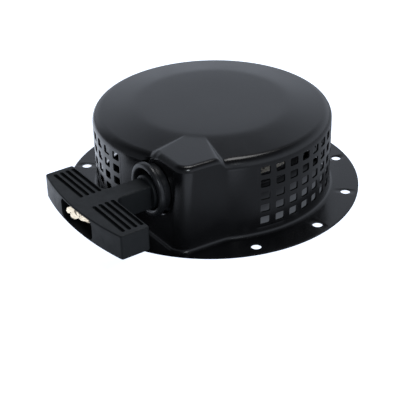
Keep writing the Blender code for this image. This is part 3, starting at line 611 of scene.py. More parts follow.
def housing_sheet():
    """The housing's outer surface as one sheet, open at the holes."""
    angles, corner, strip, cells = housing_angles()
    plan, normals = wall_points(angles, SHEET)
    builder = Builder()

    rows = []

    def row(points, height):
        rows.append(np.concatenate([points, np.broadcast_to(height, (len(points),))[:, None]], axis=1))

    flange = FLANGE_RADIUS * np.stack([np.cos(angles), np.sin(angles)], axis=-1)
    foot = plan + normals * BASE_FILLET
    for share in (0.0, 0.04, 0.5):
        row(flange + (foot - flange) * share, SHEET)
    for step in range(FILLET_STEPS + 1):
        a = math.pi / 2 * step / FILLET_STEPS
        row(plan + normals * (BASE_FILLET * (1 - math.sin(a))), SHEET + BASE_FILLET * (1 - math.cos(a)))
    edges = cell_boundaries()
    row(wall_points(angles, edges[0])[0], edges[0])
    builder.add_grid(np.stack(rows), closed_columns=True)

    heights = []
    for low, high in zip(edges[:-1], edges[1:]):
        heights += list(np.linspace(low, high, CELL_SUBROWS, endpoint=False))
    heights.append(edges[-1])
    corner_end = corner[-1] + (corner[1] - corner[0])
    strip_end = strip[-1] + (strip[1] - strip[0])
    builder.add_grid(upright_rows(np.append(corner, corner_end), heights))
    builder.add_grid(upright_rows(np.append(strip, strip_end), heights))
    add_cells(builder, cells)

    share = corner_share(angles)
    fillet = DRUM_RIM_FILLET + (CORNER_RIM_FILLET - DRUM_RIM_FILLET) * share
    slope = CONE_ANGLE * (1 - share)
    inset = fillet * (1 - np.sin(slope))
    plan, normals = wall_points(angles, CORNER_TOP)
    ring = plan - normals * inset[:, None]
    base = top_height(ring[:, 0], ring[:, 1]) - fillet * np.cos(slope)
    rows = []
    row(wall_points(angles, edges[-1])[0], edges[-1])
    for step in range(FILLET_STEPS + 1):
        turn = (math.pi / 2 - slope) * step / FILLET_STEPS
        row(plan - normals * (fillet * (1 - np.cos(turn)))[:, None], base + fillet * np.sin(turn))
    inner_radius = PLATEAU_RADIUS - 0.0045
    inner = inner_radius * np.stack([np.cos(angles), np.sin(angles)], axis=-1)
    for step in range(1, TOP_RINGS + 1):
        points = ring + (inner - ring) * (step / TOP_RINGS)
        row(points, top_height(points[:, 0], points[:, 1]))
    for radius in (0.050, 0.036, 0.022, 0.010, 0.003):
        row(inner * (radius / inner_radius), TOP_HEIGHT)
    builder.add_grid(np.stack(rows), closed_columns=True)
    last = rows[-1]
    centre = len(angles)
    fan = [(i, (i + 1) % centre, centre) for i in range(centre)]
    builder.add(np.vstack([last, [0.0, 0.0, TOP_HEIGHT]]), fan)
    return builder.mesh("housing")


def make_housing(paint):
    sheet = housing_sheet()
    shell = solidified(sheet, SHEET)
    cutters = []
    for place in range(BOLT_PLACES):
        if place == BOLT_PLACE_UNDER_CORNER:
            continue
        angle = FIRST_BOLT + place * math.tau / BOLT_PLACES
        at = (BOLT_CIRCLE_RADIUS * math.cos(angle), BOLT_CIRCLE_RADIUS * math.sin(angle))
        cutters.append(cylinder_mesh(BOLT_HOLE_RADIUS, -SHEET, 2 * SHEET, 48, at))
    recess_back = -GUIDE_SEAT_Y + GAP / 2
    recess = cylinder_mesh(GUIDE_FLANGE_RADIUS + GAP, recess_back, DRUM_RADIUS + BASE_FILLET, 128)
    recess.transform(Matrix.Translation((GUIDE_X, 0.0, GUIDE_Z)) @ ALONG_ROPE)
    shell = cut(shell, cutters + [recess], solver="MANIFOLD")
    shell = bevelled(shell, 0.0002, 2, 50.0)
    add_piece("drum", shell, "housing", paint, ["housing"])


def make_guide_seat(paint):
    """The flat seat pressed into the corner behind the rope guide, with its short round wall."""
    wall = GUIDE_FLANGE_RADIUS + GAP
    seat = -GUIDE_SEAT_Y
    hole = GUIDE_NECK_RADIUS + GAP
    profile = rounded_profile(
        [
            (hole, seat),
            (wall, seat),
            (wall, DRUM_RADIUS + SHEET),
            (wall + SHEET, DRUM_RADIUS + SHEET),
            (wall + SHEET, seat - SHEET),
            (hole, seat - SHEET),
        ],
        [0.0003, 0.0008, 0.0, 0.0, 0.0020, 0.0003],
    )
    mesh = turned_mesh("guide_seat", profile, 96)
    mesh.transform(Matrix.Translation((GUIDE_X, 0.0, GUIDE_Z)) @ ALONG_ROPE)
    within = cylinder_mesh(DRUM_RADIUS - SHEET / 2, 0.001, TOP_HEIGHT - 0.001, 256)
    mesh = cut(mesh, [within], "INTERSECT", "MANIFOLD")
    add_piece("guide_seat", mesh, "housing", paint)


# ---------------------------------------------------------------- rope guide
def make_rope_guide(plastic):
    front = -GUIDE_FRONT_Y
    seat = -GUIDE_SEAT_Y
    back = -GUIDE_BACK_Y
    lip_back = front - GUIDE_LIP_DEPTH
    flange = GUIDE_FLANGE_RADIUS
    mouth = GUIDE_MOUTH_RADIUS
    throat = GUIDE_THROAT_RADIUS
    profile = rounded_profile(
        [
            (flange, front),
            (flange, lip_back),
            (GUIDE_WAIST_RADIUS, lip_back),
            (GUIDE_WAIST_RADIUS, seat + GAP),
            (GUIDE_NECK_RADIUS, seat + GAP),
            (GUIDE_NECK_RADIUS, back),
            (throat + 0.0004, back),
            (throat, back + 0.0030),
            (mouth - 0.0032, back + 0.0066),
            (mouth, back + 0.0115),
            (mouth, front),
        ],
        [0.0027, 0.0014, 0.0005, 0.0003, 0.0003, 0.0006, 0.0012, 0.003, 0.005, 0.003, 0.0027],
        8,
    )
    mesh = turned_mesh("rope_guide", profile, 144)
    mesh.transform(Matrix.Translation((GUIDE_X, 0.0, GUIDE_Z)) @ ALONG_ROPE)
    add_piece("guide_funnel", mesh, "housing", plastic, ["rope_guide"], 50.0)


# ---------------------------------------------------------------- rope
def smooth_path(points, spacing):
    """Points at equal steps along a smooth curve through the given points."""
    points = np.asarray(points, float)
    ends = np.vstack([2 * points[0] - points[1], points, 2 * points[-1] - points[-2]])
    t = np.linspace(0.0, 1.0, 40, endpoint=False)[:, None]
    pieces = []
    for a, b, c, d in zip(ends[:-3], ends[1:-2], ends[2:-1], ends[3:]):
        curve = 2 * b + (c - a) * t + (2 * a - 5 * b + 4 * c - d) * t**2 + (3 * b - a - 3 * c + d) * t**3
        pieces.append(curve / 2)
    fine = np.vstack(pieces + [points[-1:]])
    return even_path(fine, spacing)


def even_path(points, spacing):
    """The same line with its points at equal steps."""
    lengths = np.concatenate([[0.0], np.cumsum(np.linalg.norm(np.diff(points, axis=0), axis=1))])
    count = max(int(lengths[-1] / spacing), 2)
    at = np.linspace(0.0, lengths[-1], count + 1)
    return np.stack([np.interp(at, lengths, points[:, axis]) for axis in range(3)], axis=1)


def carried_frames(path):
    """Two directions across the path at each point, carried along it without twist."""
    along = np.gradient(path, axis=0)
    along /= np.linalg.norm(along, axis=1)[:, None]
    across = np.cross(along[0], (0.0, 0.0, 1.0))
    if np.linalg.norm(across) < 0.1:
        across = np.cross(along[0], (1.0, 0.0, 0.0))
    firsts = []
    for direction in along:
        across = across - direction * np.dot(across, direction)
        across = across / np.linalg.norm(across)
        firsts.append(across)
    firsts = np.array(firsts)
    return firsts, np.cross(along, firsts)


def set_number(mesh, name, values):
    attribute = mesh.attributes.new(name, "FLOAT", "POINT")
    attribute.data.foreach_set("value", np.asarray(values, np.float32))


def rope_mesh(path, radius, around=ROPE_STEPS, end_round=True):
    """A braided rope along a path, with its strands as diamonds standing out of the surface."""
    path = np.asarray(path, float)
    first, second = carried_frames(path)
    distance = np.concatenate([[0.0], np.cumsum(np.linalg.norm(np.diff(path, axis=0), axis=1))])
    turn = np.arange(around) * (math.tau / around)
    strand = BRAID_STRANDS * turn[None, :] / math.tau
    lay = distance[:, None] / BRAID_LAY
    left = np.abs(np.sin(math.pi * (strand + lay)))
    right = np.abs(np.sin(math.pi * (strand - lay)))
    radii = radius - BRAID_RELIEF + BRAID_RELIEF * np.sqrt(left * right)
    if end_round:
        from_end = np.minimum(distance, distance[-1] - distance)
        share = np.clip(from_end / (radius * 0.8), 0.0, 1.0)
        radii = radii * np.sqrt(np.maximum(1 - (1 - share) ** 2, 0.02))[:, None]
    ring = np.cos(turn)[None, :, None] * first[:, None] + np.sin(turn)[None, :, None] * second[:, None]
    points = path[:, None] + ring * radii[..., None]
    builder = Builder()
    builder.add_grid(points, closed_columns=True)
    last = len(path) - 1
    caps = [
        (0, i + 1, (i + 1) % around + 1) for i in range(around)
    ]
    builder.add(np.vstack([path[:1], points[0]]), caps)
    builder.add(np.vstack([path[last:], points[last]]), [(a, c, b) for a, b, c in caps])
    made = bpy.data.meshes.new("rope")
    made.from_pydata(np.concatenate(builder.points).tolist(), [], builder.faces)
    extra = [0.0] + [0.0] * around + [distance[-1]] * (around + 1)
    set_number(made, "along", np.concatenate([np.repeat(distance, around), extra]))
    set_number(made, "around", np.concatenate([np.tile(turn, len(path)), [0.0], turn, [0.0], turn]))
    shape = bmesh.new()
    shape.from_mesh(made)
    bmesh.ops.remove_doubles(shape, verts=shape.verts, dist=1e-6)
    bmesh.ops.recalc_face_normals(shape, faces=shape.faces)
    shape.to_mesh(made)
    shape.free()
    return made


def coil_tangent():
    """Polar angle where the rope from the guide touches the coil."""
    bend = Vector((ROPE_X, ROPE_BEND_Y))
    return math.atan2(bend.y, bend.x) + math.acos(COIL_RADIUS / bend.length)


def coil_points():
    """The rope's turns on the reel and its end, which goes in through the reel's wall."""
    turns = np.linspace(0.0, COIL_TURNS, COIL_TURNS * 240)
    angle = coil_tangent() + turns * math.tau
    height = COIL_TOP - turns * COIL_PITCH
    coil = np.stack([COIL_RADIUS * np.cos(angle), COIL_RADIUS * np.sin(angle), height], axis=1)
    last = coil[-1]
    inwards = -np.array([last[0], last[1], 0.0]) / math.hypot(last[0], last[1])
    sideways = np.cross((0.0, 0.0, 1.0), -inwards)
    bend = [
        last + sideways * 0.0030 + inwards * 0.0004,
        last + sideways * 0.0050 + inwards * 0.0024,
        last + sideways * 0.0056 + inwards * 0.0050,
        last + sideways * 0.0056 + inwards * (COIL_RADIUS - REEL_RIM_INSIDE + 0.0040),
    ]
    return coil, bend, inwards


def knot_path(half_sizes, lead, tail):
    """An overhand knot's middle line, from the lead's point through the three loops to the tail's."""
    turn = np.linspace(math.radians(100.0), math.radians(100.0 + 330.0), 60)
    loops = np.stack(
        [
            (np.sin(turn) + 2 * np.sin(2 * turn)) / 2.74 * half_sizes[0],
            np.sin(3 * turn) * half_sizes[1],
            -(np.cos(turn) - 2 * np.cos(2 * turn) - 0.5) / 2.5 * half_sizes[2],
        ],
        axis=1,
    )
    return np.vstack([lead, loops[::4], tail])


def make_ropes(rope, straight_rope, glowing_rope):
    tangent = np.array([COIL_RADIUS * math.cos(coil_tangent()), COIL_RADIUS * math.sin(coil_tangent()), COIL_TOP])
    bend = np.array([ROPE_X, ROPE_BEND_Y, ROPE_Z])
    into = (bend - tangent) / np.linalg.norm(bend - tangent)
    split = np.array([ROPE_X, ROPE_SPLIT_Y, ROPE_Z])
    lead = smooth_path(
        [tangent + into * GAP, tangent + into * 0.02, bend - into * 0.004, bend + (0, 0.0004, 0), split], ROPE_SPACING
    )
    add_piece("rope_to_reel", rope_mesh(lead, ROPE_RADIUS), "housing", rope, ["rope_lead_in"], 80.0)

    coil, bend_in, inwards = coil_points()
    turns = smooth_path(np.vstack([coil[::12], bend_in]), ROPE_SPACING)
    add_piece("rope_turns", rope_mesh(turns, ROPE_RADIUS), "reel", rope, ["rope_coil"], 80.0)
    knot = knot_path((0.0052, 0.0026, 0.0030), [(0.0, -0.0060, 0.0)], [(0.0036, 0.0062, 0.0010)])
    path = smooth_path(knot, ROPE_SPACING)
    toward = np.stack([np.cross((0.0, 0.0, 1.0), inwards), inwards, (0.0, 0.0, 1.0)])
    place = bend_in[-1] + inwards * 0.0055
    add_piece("knot_in_reel", rope_mesh(path @ toward + place, ROPE_RADIUS * 0.8), "reel", rope, ["reel_knot"], 80.0)

    outside = [(ROPE_X, ROPE_SPLIT_Y - GAP, ROPE_Z), (ROPE_X, -0.1200, ROPE_Z), (ROPE_X, -0.1445, ROPE_Z)]
    add_piece(
        "rope_in_handle", rope_mesh(smooth_path(outside, ROPE_SPACING), ROPE_RADIUS), "handle", rope,
        ["rope_lead_out"], 80.0
    )
    # The knot in the handle has the rope's own colours and a painted glow.
    knot = knot_path(
        (0.0068, 0.0026, 0.0026), [(0.0050, 0.0110, 0.0011), (0.0050, 0.0080, 0.0011)],
        [(0.0115, 0.0006, 0.0010), (0.0160, 0.0040, 0.0000)]
    )
    path = smooth_path(knot, ROPE_SPACING) + np.array(KNOT_PLACE)
    add_piece("knot_in_handle", rope_mesh(path, KNOT_ROPE_RADIUS), "handle", glowing_rope, ["handle_knot"], 80.0)

    start = np.array([ROPE_X, PULL_START_Y, ROPE_Z])
    end = np.array([ROPE_X, PULL_END_Y, ROPE_Z])
    line = start + (end - start) * np.linspace(0.0, 1.0, 241)[:, None]
    mesh = rope_tube(line, ROPE_RADIUS - 0.00025)
    pull = add_piece("pull_rope", mesh, None, straight_rope, (), 80.0)
    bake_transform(pull)


def rope_tube(path, radius):
    """A smooth tube along a straight path, closed at both ends, whose braid is in its material."""
    around = ROPE_STEPS
    turn = np.arange(around) * (math.tau / around)
    rows = []
    for point, size in [(path[0], 0.05)] + [(point, 1.0) for point in path] + [(path[-1], 0.05)]:
        ring = np.stack([np.cos(turn), np.zeros(around), np.sin(turn)], axis=1) * radius * size
        rows.append(point + ring)
    made = bpy.data.meshes.new("tube")
    faces = grid_faces(len(rows), around, False, True).tolist()
    faces.append(list(range(around)))
    faces.append([(len(rows) - 1) * around + i for i in reversed(range(around))])
    made.from_pydata(np.concatenate(rows).tolist(), [], faces)
    set_number(made, "around", np.tile(turn, len(rows)))
    shape = bmesh.new()
    shape.from_mesh(made)
    bmesh.ops.recalc_face_normals(shape, faces=shape.faces)
    shape.to_mesh(made)
    shape.free()
    return made


# ---------------------------------------------------------------- handle
def arc_points(centre, radius, start, end, segments):
    angles = np.linspace(start, end, segments + 1)
    return [(centre[0] + radius * math.cos(a), centre[1] + radius * math.sin(a)) for a in angles]


def grip_outline():
    """Plan outline of the T shaped handle about the rope's line, anticlockwise from the stem's end."""
    sag = GRIP_CORNER_Y - GRIP_FRONT_Y
    front_radius = (GRIP_HALF_LENGTH**2 + sag**2) / (2 * sag)
    half_turn = math.asin(GRIP_HALF_LENGTH / front_radius)
    front = arc_points(
        (0.0, GRIP_FRONT_Y + front_radius), front_radius, 1.5 * math.pi + half_turn, 1.5 * math.pi - half_turn, 32
    )
    right = [(STEM_HALF_WIDTH, STEM_END_Y), (STEM_HALF_WIDTH, GRIP_BACK_Y), (GRIP_HALF_LENGTH, GRIP_BACK_Y)]
    left = [(-x, y) for x, y in reversed(right)]
    points = right + front + left
    radii = [0.0, STEM_FILLET, GRIP_CORNER_RADIUS, GRIP_CORNER_RADIUS]
    radii += [0.0] * (len(front) - 2)
    radii += [GRIP_CORNER_RADIUS, GRIP_CORNER_RADIUS, STEM_FILLET, 0.0]
    return rounded_outline(points, radii, 6)


def rounded_outline(points, radii, segments):
    """A closed outline whose corners are rounded, each by its own radius."""
    return rounded_profile(points, radii, segments)


def prism(outline, bottom, top):
    """A closed plan outline made into an upright solid."""
    shape = bmesh.new()
    floor = shape.faces.new([shape.verts.new((x, y, bottom)) for x, y in outline])
    raised = bmesh.ops.extrude_face_region(shape, geom=[floor])["geom"]
    lifted = [item for item in raised if isinstance(item, bmesh.types.BMVert)]
    bmesh.ops.translate(shape, verts=lifted, vec=(0.0, 0.0, top - bottom))
    bmesh.ops.recalc_face_normals(shape, faces=shape.faces)
    mesh = bpy.data.meshes.new("prism")
    shape.to_mesh(mesh)
    shape.free()
    return mesh


def groove_cutter(x, y, length):
    """A long groove with round ends and rounded bottom edges, open at the top."""
    half = RIB_GROOVE_WIDTH / 2
    reach = length / 2 - half
    outline = arc_points((reach, 0.0), half, -math.pi / 2, math.pi / 2, 10)
    outline += arc_points((-reach, 0.0), half, math.pi / 2, 1.5 * math.pi, 10)
    shape = bmesh.new()
    shape.from_mesh(prism(outline, GRIP_TOP - RIB_GROOVE_DEPTH, GRIP_TOP + 0.002))
    low = [edge for edge in shape.edges if all(vert.co.z < GRIP_TOP - RIB_GROOVE_DEPTH + 1e-6 for vert in edge.verts)]
    bmesh.ops.bevel(shape, geom=low, offset=half * 0.7, segments=3, profile=0.5, affect="EDGES", clamp_overlap=True)
    mesh = bpy.data.meshes.new("groove")
    shape.to_mesh(mesh)
    shape.free()
    mesh.transform(Matrix.Translation((x, y, 0.0)))
    return mesh


def slot_cutter(half_x, half_z, back_y):
    """One step of the pocket in the grip's front for the knot, with rounded corners."""
    corners = [(half_x, half_z), (-half_x, half_z), (-half_x, -half_z), (half_x, -half_z)]
    outline = rounded_outline(corners, [KNOT_SLOT_CORNER_RADIUS] * 4, 10)
    mesh = prism(outline, -back_y, -GRIP_FRONT_Y + 0.004)
    middle = (GRIP_BOTTOM + GRIP_TOP) / 2
    mesh.transform(Matrix.Translation((KNOT_SLOT_X, 0.0, middle)) @ ALONG_ROPE)
    return mesh


def make_handle(plastic):
    grip = prism([(ROPE_X + x, y) for x, y in grip_outline()], GRIP_BOTTOM, GRIP_TOP)
    grip = bevelled(grip, GRIP_EDGE, 4, 60.0)
    profile = rounded_profile(
        [
            (0.0, -COLLAR_BACK_Y),
            (COLLAR_RADIUS, -COLLAR_BACK_Y),
            (COLLAR_RADIUS, -COLLAR_FRONT_Y),
            (0.0, -COLLAR_FRONT_Y),
        ],
        [0.0, 0.0010, 0.0012, 0.0],
        5,
    )
    collar = turned_mesh("collar", profile, 96, closed=False)
    collar.transform(Matrix.Translation((ROPE_X, 0.0, ROPE_Z)) @ ALONG_ROPE)
    grip = cut(grip, [collar], "UNION")
    cutters = [
        slot_cutter(KNOT_SLOT_HALF_LENGTH, KNOT_SLOT_HALF_HEIGHT, KNOT_SLOT_STEP_Y),
        slot_cutter(KNOT_SLOT_LOW_HALF_LENGTH, KNOT_SLOT_LOW_HALF_HEIGHT, KNOT_SLOT_BACK_Y),
    ]
    length = RIB_GROOVE_END - RIB_GROOVE_START
    for side in (-1, 1):
        for y in RIB_GROOVES_Y:
            cutters.append(groove_cutter(ROPE_X + side * (RIB_GROOVE_START + RIB_GROOVE_END) / 2, y, length))
    rope_hole = cylinder_mesh(ROPE_RADIUS + GAP, -COLLAR_BACK_Y - 0.002, -KNOT_SLOT_BACK_Y + 0.002, 48)
    rope_hole.transform(Matrix.Translation((ROPE_X, 0.0, ROPE_Z)) @ ALONG_ROPE)
    grip = cut(grip, cutters + [rope_hole])
    grip = bevelled(grip, 0.00025, 2, 40.0)
    piece = add_piece("grip", grip, "handle", plastic, ["handle_grip"], 40.0)
    # The large flat faces keep their own normals, and only the rounded edges are shaded smooth.
    weighted = piece.modifiers.new("Normals", "WEIGHTED_NORMAL")
    weighted.keep_sharp = True
    weighted.weight = 100


# ---------------------------------------------------------------- reel, post and spring
def make_reel(nylon):
    rim = 0.0006
    profile = rounded_profile(
        [
            (REEL_RADIUS, REEL_TOP),
            (REEL_RADIUS, GROOVE_TOP + rim),
            (GROOVE_RADIUS, GROOVE_TOP),
            (GROOVE_RADIUS, GROOVE_BOTTOM),
            (REEL_RADIUS, GROOVE_BOTTOM - rim),
            (REEL_RADIUS, REEL_RIM_BOTTOM),
            (REEL_RIM_INSIDE, REEL_RIM_BOTTOM),
            (REEL_RIM_INSIDE, REEL_WEB_BOTTOM),
            (REEL_BOSS_RADIUS, REEL_WEB_BOTTOM),
            (REEL_BOSS_RADIUS, REEL_FACE),
            (REEL_BORE, REEL_FACE),
            (REEL_BORE, REEL_TOP),
        ],
        [0.0004, 0.0004, 0.0010, 0.0010, 0.0004, 0.0004, 0.0005, 0.0015, 0.0015, 0.0010, 0.0006, 0.0006],
        4,
    )
    reel = turned_mesh("reel", profile, 180)
    ribs = Builder()
    for index in range(REEL_RIBS):
        turn = Matrix.Rotation((index + 0.5) * math.tau / REEL_RIBS, 4, "Z")
        reach = (REEL_BOSS_RADIUS - 0.001, REEL_RIM_INSIDE + 0.001)
        corners = [
            (x, y, z)
            for x in reach
            for y in (-0.0010, 0.0010)
            for z in (REEL_RIM_BOTTOM + 0.0040, REEL_WEB_BOTTOM + 0.001)
        ]
        corners = [tuple(turn @ Vector(corner)) for corner in corners]
        ribs.add(corners, [(0, 1, 3, 2), (4, 6, 7, 5), (0, 4, 5, 1), (2, 3, 7, 6), (0, 2, 6, 4), (1, 5, 7, 3)])
    reel = cut(reel, [ribs.mesh("ribs")], "UNION", "MANIFOLD")
    cutters = []
    for side in (-1, 1):
        place = (side * PAWL_PIN_CIRCLE, 0.0)
        cutters.append(cylinder_mesh(PAWL_PIN_RADIUS + GAP, REEL_FACE - 0.002, PIN_TOP + GAP, 48, place))
    end = coil_points()[1][-1]
    inwards = coil_points()[2]
    hole = cylinder_mesh(ROPE_HOLE_RADIUS, -0.008, 0.008, 48)
    turn = Vector(inwards).to_track_quat("Z", "Y").to_matrix().to_4x4()
    hole.transform(Matrix.Translation(Vector(end) - Vector(inwards) * 0.004) @ turn)
    reel = cut(reel, cutters + [hole], solver="MANIFOLD")
    reel = bevelled(reel, 0.0003, 2, 40.0)
    add_piece("rope_reel", reel, "reel", nylon, ["reel"])


def turned_piece(name, node, body, finish, points, edge, along=None):
    """A turned part from its ring's section, with every edge rounded."""
    profile = rounded_profile(points, [edge] * len(points), 3)
    mesh = turned_mesh(name, profile, 128)
    if along is not None:
        mesh.transform(Matrix.Translation((along[0], 0.0, along[1])) @ ALONG_ROPE)
    add_piece(name, mesh, body, finish, [node])


def section(outer, inner, low, high):
    return [(outer, high), (outer, low), (inner, low), (inner, high)]


def make_turned_parts(zinc, spring, bronze):
    seat = -GUIDE_SEAT_Y - SHEET - GAP
    turned_piece(
        "guide_retaining_ring", "rope_guide_retainer", "housing", spring,
        section(RETAINER_RADIUS, GUIDE_NECK_RADIUS + GAP, seat - SHEET, seat), 0.0003, (GUIDE_X, GUIDE_Z),
    )
    turned_piece(
        "post_flange", "post_plate", "housing", zinc,
        section(PLATE_RADIUS, POST_TENON_RADIUS + GAP, PLATE_BOTTOM, PLATE_TOP), 0.0005,
    )
    turned_piece(
        "bush", "reel_bush", "reel", bronze,
        section(REEL_BORE - GAP, POST_RADIUS + GAP, REEL_FACE + GAP, REEL_TOP - GAP), 0.0006,
    )
    turned_piece(
        "washer", "thrust_washer", "housing", zinc,
        section(WASHER_RADIUS, SCREW_RADIUS + GAP, WASHER_BOTTOM, WASHER_TOP), 0.0004,
    )
    cup = [
        (CUP_RADIUS, CUP_TOP),
        (CUP_RADIUS, CUP_BOTTOM),
        (CUP_HOLE, CUP_BOTTOM),
        (CUP_HOLE, CUP_BOTTOM + CUP_SHEET),
        (CUP_RADIUS - CUP_SHEET, CUP_BOTTOM + CUP_SHEET),
        (CUP_RADIUS - CUP_SHEET, CUP_TOP),
    ]
    profile = rounded_profile(cup, [0.0003, 0.0020, 0.0003, 0.0003, 0.0012, 0.0003], 5)
    add_piece("spring_housing", turned_mesh("cup", profile, 160), "reel", zinc, ["spring_cup"])


# ---------------------------------------------------------------- materials
class Shading:
    """A material and short ways to add nodes to it."""

    def __init__(self, name, colour, roughness, metallic=0.0):
        self.made = bpy.data.materials.new(name)
        self.made.use_nodes = True
        self.nodes = self.made.node_tree.nodes
        self.links = self.made.node_tree.links
        self.shader = self.nodes["Principled BSDF"]
        self.shader.inputs["Base Color"].default_value = (*colour, 1.0)
        self.shader.inputs["Roughness"].default_value = roughness
        self.shader.inputs["Metallic"].default_value = metallic
        self.place = self.nodes.new("ShaderNodeTexCoord").outputs["Object"]

    def noise(self, scale, detail=3.0, stretch=None):
        """Noise from 0 to 1; stretch is how much finer it is along each axis."""
        made = self.nodes.new("ShaderNodeTexNoise")
        made.inputs["Scale"].default_value = scale
        made.inputs["Detail"].default_value = detail
        source = self.place
        if stretch is not None:
            mapping = self.nodes.new("ShaderNodeMapping")
            mapping.inputs["Scale"].default_value = stretch
            self.links.new(source, mapping.inputs["Vector"])
            source = mapping.outputs["Vector"]
        self.links.new(source, made.inputs["Vector"])
        return made.outputs["Fac"]

    def math(self, operation, a, b=None):
        made = self.nodes.new("ShaderNodeMath")
        made.operation = operation
        for socket, value in zip(made.inputs, (a, b)):
            if value is None:
                continue
            if isinstance(value, (int, float)):
                socket.default_value = value
            else:
                self.links.new(value, socket)
        return made.outputs[0]

    def spread(self, value, low, high, from_low=0.3, from_high=0.7):
        made = self.nodes.new("ShaderNodeMapRange")
        for name, number in (("From Min", from_low), ("From Max", from_high), ("To Min", low), ("To Max", high)):
            made.inputs[name].default_value = number
        self.links.new(value, made.inputs["Value"])
        return made.outputs["Result"]

    def between(self, share, first, second):
        """A colour between two."""
        made = self.nodes.new("ShaderNodeMix")
        made.data_type = "RGBA"
        made.inputs["A"].default_value = (*first, 1.0)
        made.inputs["B"].default_value = (*second, 1.0)
        self.links.new(share, made.inputs["Factor"])
        return made.outputs["Result"]

    def bump(self, heights):
        """Bumps from pairs of (height, depth in metres), one upon the other."""
        normal = None
        for height, depth in heights:
            made = self.nodes.new("ShaderNodeBump")
            made.inputs["Distance"].default_value = depth
            self.links.new(height, made.inputs["Height"])
            if normal is not None:
                self.links.new(normal, made.inputs["Normal"])
            normal = made.outputs["Normal"]
        self.links.new(normal, self.shader.inputs["Normal"])

    def set(self, name, value):
        self.links.new(value, self.shader.inputs[name])


def black_paint():
    """Glossy black enamel on sheet steel, with orange peel, dust and a slightly uneven gloss."""
    made = Shading("black_paint", PAINT, 0.2)
    peel = made.noise(420.0, 2.0)
    fine = made.noise(2600.0, 2.0)
    made.bump([(peel, 0.000035), (fine, 0.000006)])
    made.set("Roughness", made.spread(made.noise(30.0, 5.0), 0.19, 0.27))
    made.set("Base Color", made.between(made.spread(made.noise(60.0, 8.0), 0.0, 1.0), PAINT, PAINT_DUSTY))
    return made.made


def black_plastic(name, colour, dusty, roughness, specular):
    """Moulded plastic with a fine spark eroded texture."""
    made = Shading(name, colour, roughness)
    made.shader.inputs["Specular IOR Level"].default_value = specular
    grain = made.noise(2200.0, 4.0)
    made.bump([(grain, 0.00006), (made.noise(90.0, 2.0), 0.00006)])
    made.set("Roughness", made.spread(made.noise(150.0, 4.0), roughness - 0.05, roughness + 0.07))
    made.set("Base Color", made.between(made.spread(made.noise(45.0, 7.0), 0.0, 1.0), colour, dusty))
    return made.made


def plain_metal(name, colour, other, roughness, brushed=(1.0, 1.0, 1.0)):
    """Metal with fine brushing, cloudy tint and small scratches."""
    made = Shading(name, colour, roughness, 1.0)
    grain = made.noise(1500.0, 3.0, brushed)
    cloud = made.noise(70.0, 6.0)
    made.bump([(grain, 0.000012), (made.noise(260.0, 3.0), 0.000016)])
    made.set("Roughness", made.spread(cloud, roughness - 0.06, roughness + 0.10))
    made.set("Base Color", made.between(made.spread(cloud, 0.0, 1.0), colour, other))
    return made.made


def sintered_bronze():
    """Porous bronze: a warm metal speckled with dark pores."""
    made = Shading("sintered_bronze", (0.42, 0.25, 0.11), 0.42, 1.0)
    pores = made.spread(made.noise(1800.0, 2.0), 0.0, 1.0, 0.55, 0.68)
    made.set("Base Color", made.between(pores, (0.42, 0.25, 0.11), (0.10, 0.06, 0.03)))
    made.set("Roughness", made.spread(pores, 0.40, 0.75, 0.0, 1.0))
    made.bump([(made.math("MULTIPLY", pores, -1.0), 0.00003)])
    return made.made


def braided_rope(name, along_is_y, glow=0.0):
    """Beige braid with a dark tracer, painted shade in its hollows and, where glow is given, a painted glow; on a
    straight rope the place along it is its Y.
    """
    made = Shading(name, ROPE_LIGHT, 0.85)

    def number(attribute):
        node = made.nodes.new("ShaderNodeAttribute")
        node.attribute_name = attribute
        return node.outputs["Fac"]

    if along_is_y:
        split = made.nodes.new("ShaderNodeSeparateXYZ")
        made.links.new(made.place, split.inputs[0])
        along = split.outputs["Y"]
    else:
        along = number("along")
    strand = made.math("MULTIPLY", number("around"), BRAID_STRANDS / math.tau)
    lay = made.math("DIVIDE", along, BRAID_LAY)
    left = made.math("ADD", strand, lay)
    right = made.math("SUBTRACT", strand, lay)
    hollows = [made.math("ABSOLUTE", made.math("SINE", made.math("MULTIPLY", v, math.pi))) for v in (left, right)]
    height = made.math("SQRT", made.math("MULTIPLY", *hollows))
    # The tracer is one strand in four of those that run one way.
    strand_number = made.math("FLOOR", left)
    in_four = made.math("FRACT", made.math("DIVIDE", made.math("ADD", strand_number, 0.5), 4.0))
    tracer = made.math("LESS_THAN", in_four, 0.25)
    over = made.math("FRACT", made.math("MULTIPLY", made.math("ADD", strand_number, made.math("FLOOR", right)), 0.5))
    tracer = made.math("MULTIPLY", tracer, made.math("LESS_THAN", over, 0.25))
    fibres = made.noise(5200.0, 3.0)
    light = made.between(made.spread(made.noise(260.0, 4.0), 0.0, 1.0), ROPE_LIGHT, ROPE_WORN)
    pick = made.nodes.new("ShaderNodeMix")
    pick.data_type = "RGBA"
    made.links.new(made.math("MULTIPLY", tracer, 0.85), pick.inputs["Factor"])
    made.links.new(light, pick.inputs["A"])
    pick.inputs["B"].default_value = (*ROPE_TRACER, 1.0)
    # Painted shade: the hollows between the strands are darkened, down to about a third of the colour at their
    # deepest.
    shade = made.nodes.new("ShaderNodeMix")
    shade.data_type = "RGBA"
    shade.blend_type = "MULTIPLY"
    shade.inputs["Factor"].default_value = 1.0
    made.links.new(pick.outputs["Result"], shade.inputs["A"])
    made.links.new(made.between(made.spread(height, 0.0, 1.0, 0.0, 0.5), (0.35, 0.32, 0.28), (1.0, 1.0, 1.0)), shade.inputs["B"])
    made.set("Base Color", shade.outputs["Result"])
    # Painted light: to camera rays the rope glows with its own colour times glow; only the knot in the handle has a
    # glow.
    made.links.new(shade.outputs["Result"], made.shader.inputs["Emission Color"])
    seen = made.nodes.new("ShaderNodeLightPath").outputs["Is Camera Ray"]
    made.set("Emission Strength", made.math("MULTIPLY", seen, glow))
    depth = BRAID_RELIEF if along_is_y else BRAID_RELIEF / 4
    made.bump([(height, depth), (fibres, 0.00008)])
    made.shader.inputs["Sheen Weight"].default_value = 0.3
    return made.made


